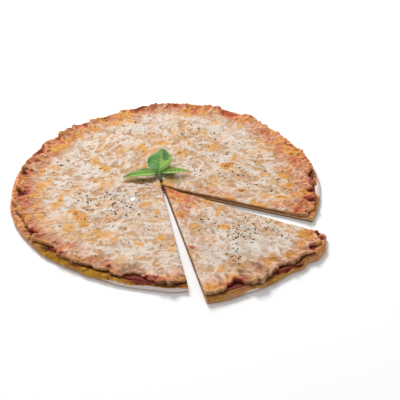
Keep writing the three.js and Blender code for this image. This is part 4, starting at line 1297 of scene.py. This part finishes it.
def make_stem(joint_height, material):
    """The stub of stem, with a swelling where the leaves spring from it."""
    add_cylinder = bpy.ops.mesh.primitive_cylinder_add
    cut_end = dict(vertices=20, radius=0.7 * STEM_RADIUS, depth=0.4, location=(0, 0, 0.2 - STEM_LENGTH))
    stem = primitive(add_cylinder, "basil_stem_dressed", **cut_end)
    bpy.ops.object.transform_apply(location=True, rotation=False, scale=False)
    pick(stem, "FACE", read(stem.data.polygons, "center", 3)[:, 2] > 0.35 - STEM_LENGTH)
    steps = [(0.8, 1.03), (3, 1.07), (3.4, 1.1), (2.4, 1.1), (1.6, 1.06), (1, 0.93), (0.7, 0.78), (0.3, 0.5)]
    for rise, swell in steps:
        bpy.ops.mesh.extrude_region_move(TRANSFORM_OT_translate={"value": (0, 0, rise)})
        bpy.ops.transform.resize(value=(swell, swell, 1))
    object_mode()
    points = points_of(stem)
    x, y, z = points.T
    ridges = 1 + 0.07 * np.sin(4 * np.arctan2(y, x)) + 0.04 * noise(z / 1.5, x, 9)
    paint(stem, "freshness", rising(z, -0.9 * STEM_LENGTH, -0.3 * STEM_LENGTH))
    lying = Matrix.Rotation(math.radians(90 - STEM_RISE), 3, "Y")
    turned = np.array(Matrix.Rotation(math.radians(STEM_HEADING), 3, "Z") @ lying)
    points = np.stack([x * ridges, y * ridges, z], axis=1) @ turned.T + (SPRIG_JOINT[0], SPRIG_JOINT[1], joint_height)
    set_points(stem, points * MM)
    face_outwards(stem)
    serve(stem, "basil_stem", [material], 50)


# ---- Building the pizza ---------------------------------------------------------------------------------------

baked_dough, bread_crumb = crust_finish(), crumb_finish()
tomato_sauce, melted_cheese, shaded_cut_cheese = sauce_finish(), cheese_finish(), cut_cheese_finish()
leaf_green, stem_green, dried_herb = leaf_finish(), stem_finish(), herb_finish()

for piece in (BIG_PIECE, SLICE):
    make_crust(piece, [baked_dough, bread_crumb])
    make_sauce(piece, tomato_sauce)
    make_cheese(piece, [melted_cheese, shaded_cut_cheese])

slice_crumbs = SLICE_HERB_PATCHES + SLICE_CRUMB_PATCHES
scatter_herbs("dried_herb_flecks", [
    (BIG_PIECE, large_flecks(BIG_PIECE) + small_flecks(BIG_PIECE, HERB_PATCHES, seed=23, per_patch=4, strays=280)),
    (SLICE, large_flecks(SLICE) + small_flecks(SLICE, slice_crumbs, seed=29, per_patch=4, strays=0)),
], dried_herb)

joint_height = float(BIG_PIECE.cheese_top(np.array(SPRIG_JOINT[0]), np.array(SPRIG_JOINT[1]))) + SPRIG_JOINT[2]
for name, leaf in LEAVES.items():
    make_leaf(name, leaf, joint_height, leaf_green)
make_stem(joint_height, stem_green)

# ---- Floor, light and camera ----------------------------------------------------------------------------------

floor = primitive(bpy.ops.mesh.primitive_plane_add, "pale_floor", size=12, location=(0, 0, -0.00005))
pale = Finish("pale_floor", 0.9, 0.1)
pale.colour = (0.93, 0.93, 0.93, 1)
floor.data.materials.append(pale.done())

scene = bpy.context.scene
scene.view_settings.view_transform = "Standard"
world = bpy.data.worlds.new("studio")
world.use_nodes = True
world.node_tree.nodes["Background"].inputs["Color"].default_value = (1, 1, 1, 1)
world.node_tree.nodes["Background"].inputs["Strength"].default_value = 0.56
scene.world = world


def add_light(name, place, size, power):
    """A square lamp that shines on the pizza's middle."""
    lamp = bpy.data.lights.new(name, "AREA")
    lamp.shape, lamp.size, lamp.energy = "SQUARE", size, power
    light = bpy.data.objects.new(name, lamp)
    light.matrix_world = Matrix.Translation(place) @ (-Vector(place)).to_track_quat("-Z", "Y").to_matrix().to_4x4()
    bpy.context.collection.objects.link(light)


FRAME_PIXELS = 400
SENSOR_WIDTH = 36
CAMERA_DIP = 0.61681  # radians
CAMERA_DISTANCE = 1000.0
FOCAL_PIXELS = 1026.05
TIP_PIXEL = (160.85, 189.99)


def add_camera():
    """A camera that sees the cut point at TIP_PIXEL of a square frame, from that dip and distance."""
    across, down = (pixel - FRAME_PIXELS / 2 for pixel in TIP_PIXEL)
    sight = Vector((across / FOCAL_PIXELS, -down / FOCAL_PIXELS, 1)).normalized()
    heading = math.asin(sight.x / math.cos(CAMERA_DIP))
    level, drop = math.cos(heading) * math.cos(CAMERA_DIP), math.sin(CAMERA_DIP)
    tilt = math.atan2(sight.y * level + sight.z * drop, sight.z * level - sight.y * drop)
    right = Vector((math.cos(heading), math.sin(heading), 0))
    forward = Vector((-math.sin(heading) * math.cos(tilt), math.cos(heading) * math.cos(tilt), -math.sin(tilt)))
    up = right.cross(forward)
    place = Vector((*CUT_POINT, 0)) - Vector((0, math.cos(CAMERA_DIP), -math.sin(CAMERA_DIP))) * CAMERA_DISTANCE
    lens = bpy.data.cameras.new("camera")
    lens.sensor_width = SENSOR_WIDTH
    lens.lens = FOCAL_PIXELS / FRAME_PIXELS * SENSOR_WIDTH
    lens.clip_start = 0.01
    eye = bpy.data.objects.new("camera", lens)
    eye.matrix_world = Matrix.Translation(place * MM) @ Matrix((right, up, -forward)).transposed().to_4x4()
    bpy.context.collection.objects.link(eye)
    scene.camera = eye


add_light("window_light", (-0.45, 1.4, 1.3), 0.68, 40.5)
add_camera()
